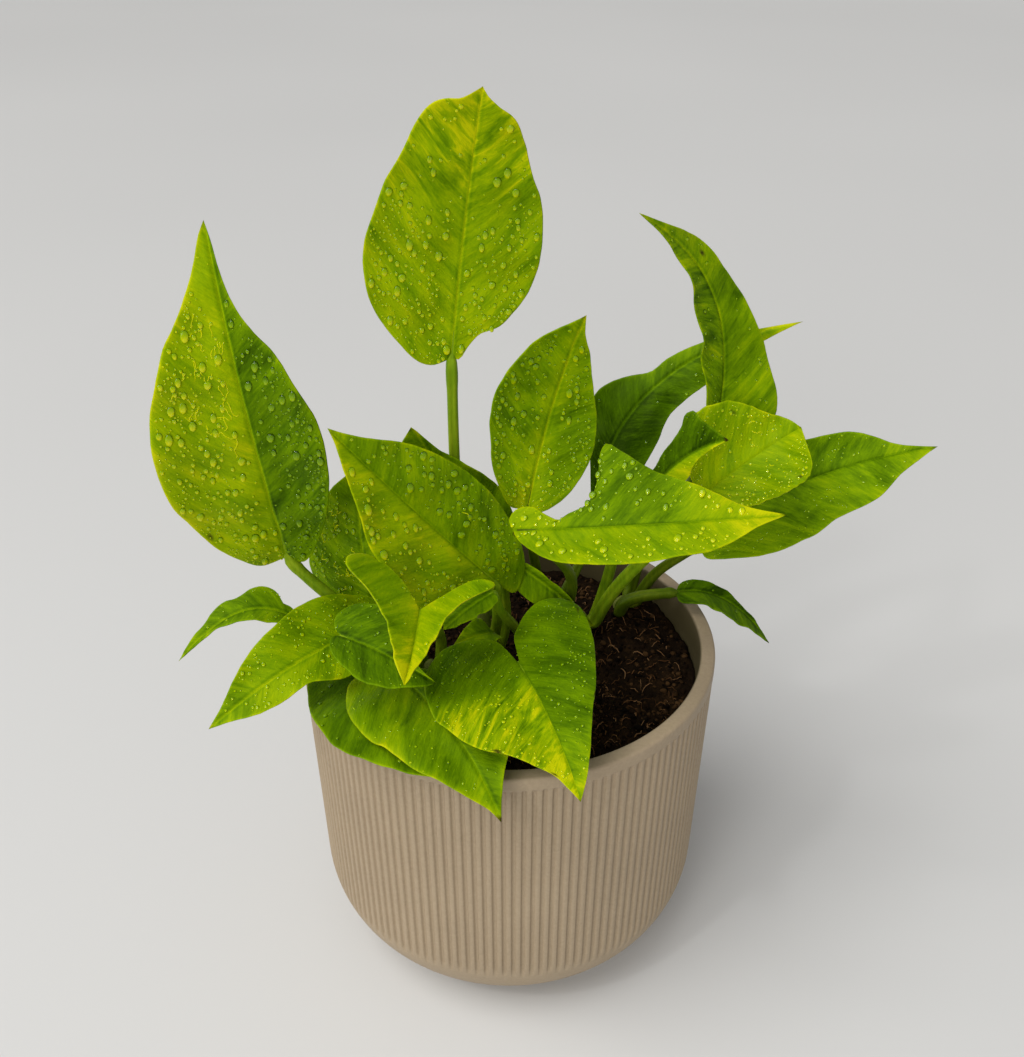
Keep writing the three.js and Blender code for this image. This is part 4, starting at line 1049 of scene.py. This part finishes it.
def downhill_of(normal):
    """The way down along the surface, and how steep it is from 0 to 1."""
    fall = np.array([0, 0, -1.0]) + normal * normal[2]
    size = np.linalg.norm(fall)
    if size < 0.05:
        return unit(np.cross(normal, (1.0, 0, 0))), 0.0
    return fall / size, size


def make_drops(blade, gathered):
    """Scattered drops that keep clear of each other, of the margin and of the midrib."""
    generator = random.Random(blade.seed)
    look = blade.look
    wide = [np.abs(blade.edge(half, np.linspace(0, 1, 60))[0]).max() for half in (0, 1)]
    area = 0.6 * (wide[0] + wide[1]) * blade.length / 100
    taken = []
    for _ in range(int(area * look["drops"] * 1.6)):
        half = 0 if generator.random() < wide[0] / (wide[0] + wide[1]) else 1
        share = generator.uniform(0.03, 0.93)
        out = math.sqrt(generator.random()) * 0.96
        keep = abs(float(blade.edge(half, share)[0])) / wide[half]
        if generator.random() > keep or share > look["dry"] and generator.random() < 0.8:
            continue
        centre, normal, (_, inset, reach, _), tone = surface(blade, half, share, out)
        radius = SMALL_DROP + (look["size"] - SMALL_DROP) * generator.random() ** 2.4
        crowded = any(np.linalg.norm(centre - other) < (radius + size) * 1.15 for other, size in taken)
        if crowded or inset < radius + 0.5 or reach < radius + 0.4:
            continue
        taken.append((centre, radius))
        downhill, steep = downhill_of(normal)
        stretch = 1 + 0.7 * steep * generator.random() * min(radius, 1)
        points, faces, painted_light_downhill, foot = drop_shape(centre, normal, downhill, radius, stretch, 0.16 * steep,
                                                   generator.uniform(0.01, 0.06))
        gathered.add(points, faces, np.stack([np.full(len(points), tone), painted_light_downhill, foot], 1))
    for _ in range(look["streams"]):
        add_stream(blade, generator, gathered)


def add_stream(blade, generator, gathered):
    """A thin wandering run of water left between drops."""
    half = generator.choice((0, 1)) if blade.look["half"] is None else blade.look["half"]
    share = generator.uniform(*blade.look["runs"])
    out = generator.uniform(0.15, 0.75)
    heading = generator.uniform(-1, 1)
    path = []
    for _ in range(generator.randint(5, 9)):
        centre, normal, _, _ = surface(blade, half, share, out)
        path.append(centre)
        share = min(max(share - 0.009 * math.cos(heading), 0.05), 0.95)
        out = min(max(out + 0.03 * math.sin(heading), 0.08), 0.9)
        heading += generator.uniform(-1.4, 1.4)
    radii = [generator.uniform(0.1, 0.2) for _ in path]
    radii[0] = radii[-1] = 0.08
    points, faces = swept(path, radii, 8, normal)
    tone = surface(blade, half, share, out)[3]
    # Painted highlight: the run takes the leaf's tone 0.3 lighter, and the drop shader lightens it a little
    # more.
    gathered.add(points, faces, (tone + 0.3, 0.2, 0))


# ---------------- assembly

make_pot()
make_soil()
make_crumbs()
make_fibres()
for stem_name, stem in STEMS.items():
    make_stem(stem_name, stem)
for leaf_name, leaf in LEAVES.items():
    blade = Blade(leaf_name, leaf)
    make_blade(blade)
    make_stalk(leaf_name, leaf, blade)
    water = Collector()
    make_drops(blade, water)
    if water.count:
        water.piece("drops_" + leaf_name, WATER)


# ---------------- stage, lights and camera

# The floor's half width and the camera's place are in metres, and its film and lens in millimetres.
FLOOR_REACH = 6.0
FILM_HEIGHT = 36
LENS = 40.87
CAMERA_PLACE = (0.001, -0.330, 0.366)
CAMERA_TILT = 58.2
WORLD_STRENGTH = 0.37


def add_light(name, kind, place, aim, energy, colour, **settings):
    data = bpy.data.lights.new(name, kind)
    data.energy = energy
    data.color = colour
    for label, value in settings.items():
        setattr(data, label, value)
    lamp = linked(name, data)
    lamp.location = place
    lamp.rotation_euler = (Vector(aim) - Vector(place)).to_track_quat("-Z", "Y").to_euler()


def make_floor():
    mesh = bpy.data.meshes.new("floor")
    corners = [(-1, -1), (1, -1), (1, 1), (-1, 1)]
    mesh.from_pydata([(x * FLOOR_REACH, y * FLOOR_REACH, 0) for x, y in corners], [], [(0, 1, 2, 3)])
    mesh.materials.append(floor_skin())
    linked("floor", mesh)


def make_world():
    world = bpy.data.worlds.new("studio")
    world.use_nodes = True
    background = world.node_tree.nodes["Background"]
    background.inputs["Color"].default_value = (1.0, 0.995, 0.99, 1)
    background.inputs["Strength"].default_value = WORLD_STRENGTH
    bpy.context.scene.world = world


def make_camera():
    data = bpy.data.cameras.new("camera")
    data.sensor_fit = "VERTICAL"
    data.sensor_height = FILM_HEIGHT
    data.lens = LENS
    data.clip_start = 0.01
    data.clip_end = 50
    camera = linked("camera", data)
    camera.location = CAMERA_PLACE
    camera.rotation_euler = (math.radians(CAMERA_TILT), 0, 0)
    bpy.context.scene.camera = camera


make_floor()
make_world()
make_camera()
add_light("sky_panel", "SUN", (0, 0, 0), (0.5, 0.3, -1.0), 1.6, (1.0, 0.99, 0.965), angle=math.radians(42))
add_light("side", "AREA", (-2.2, 0.3, 0.7), (0, 0, 0.1), 6, (1.0, 0.99, 0.97), shape="DISK", size=1.0)
add_light("front", "AREA", (-0.55, -1.5, 0.95), (0, 0, 0.15), 11, (1.0, 0.99, 0.96), shape="DISK", size=0.9)
add_light("glint", "AREA", (-0.5, -0.55, 0.95), (0, 0, 0.2), 0.9, (1.0, 1.0, 1.0), shape="DISK", size=0.07)
bpy.context.scene.view_settings.view_transform = "Standard"
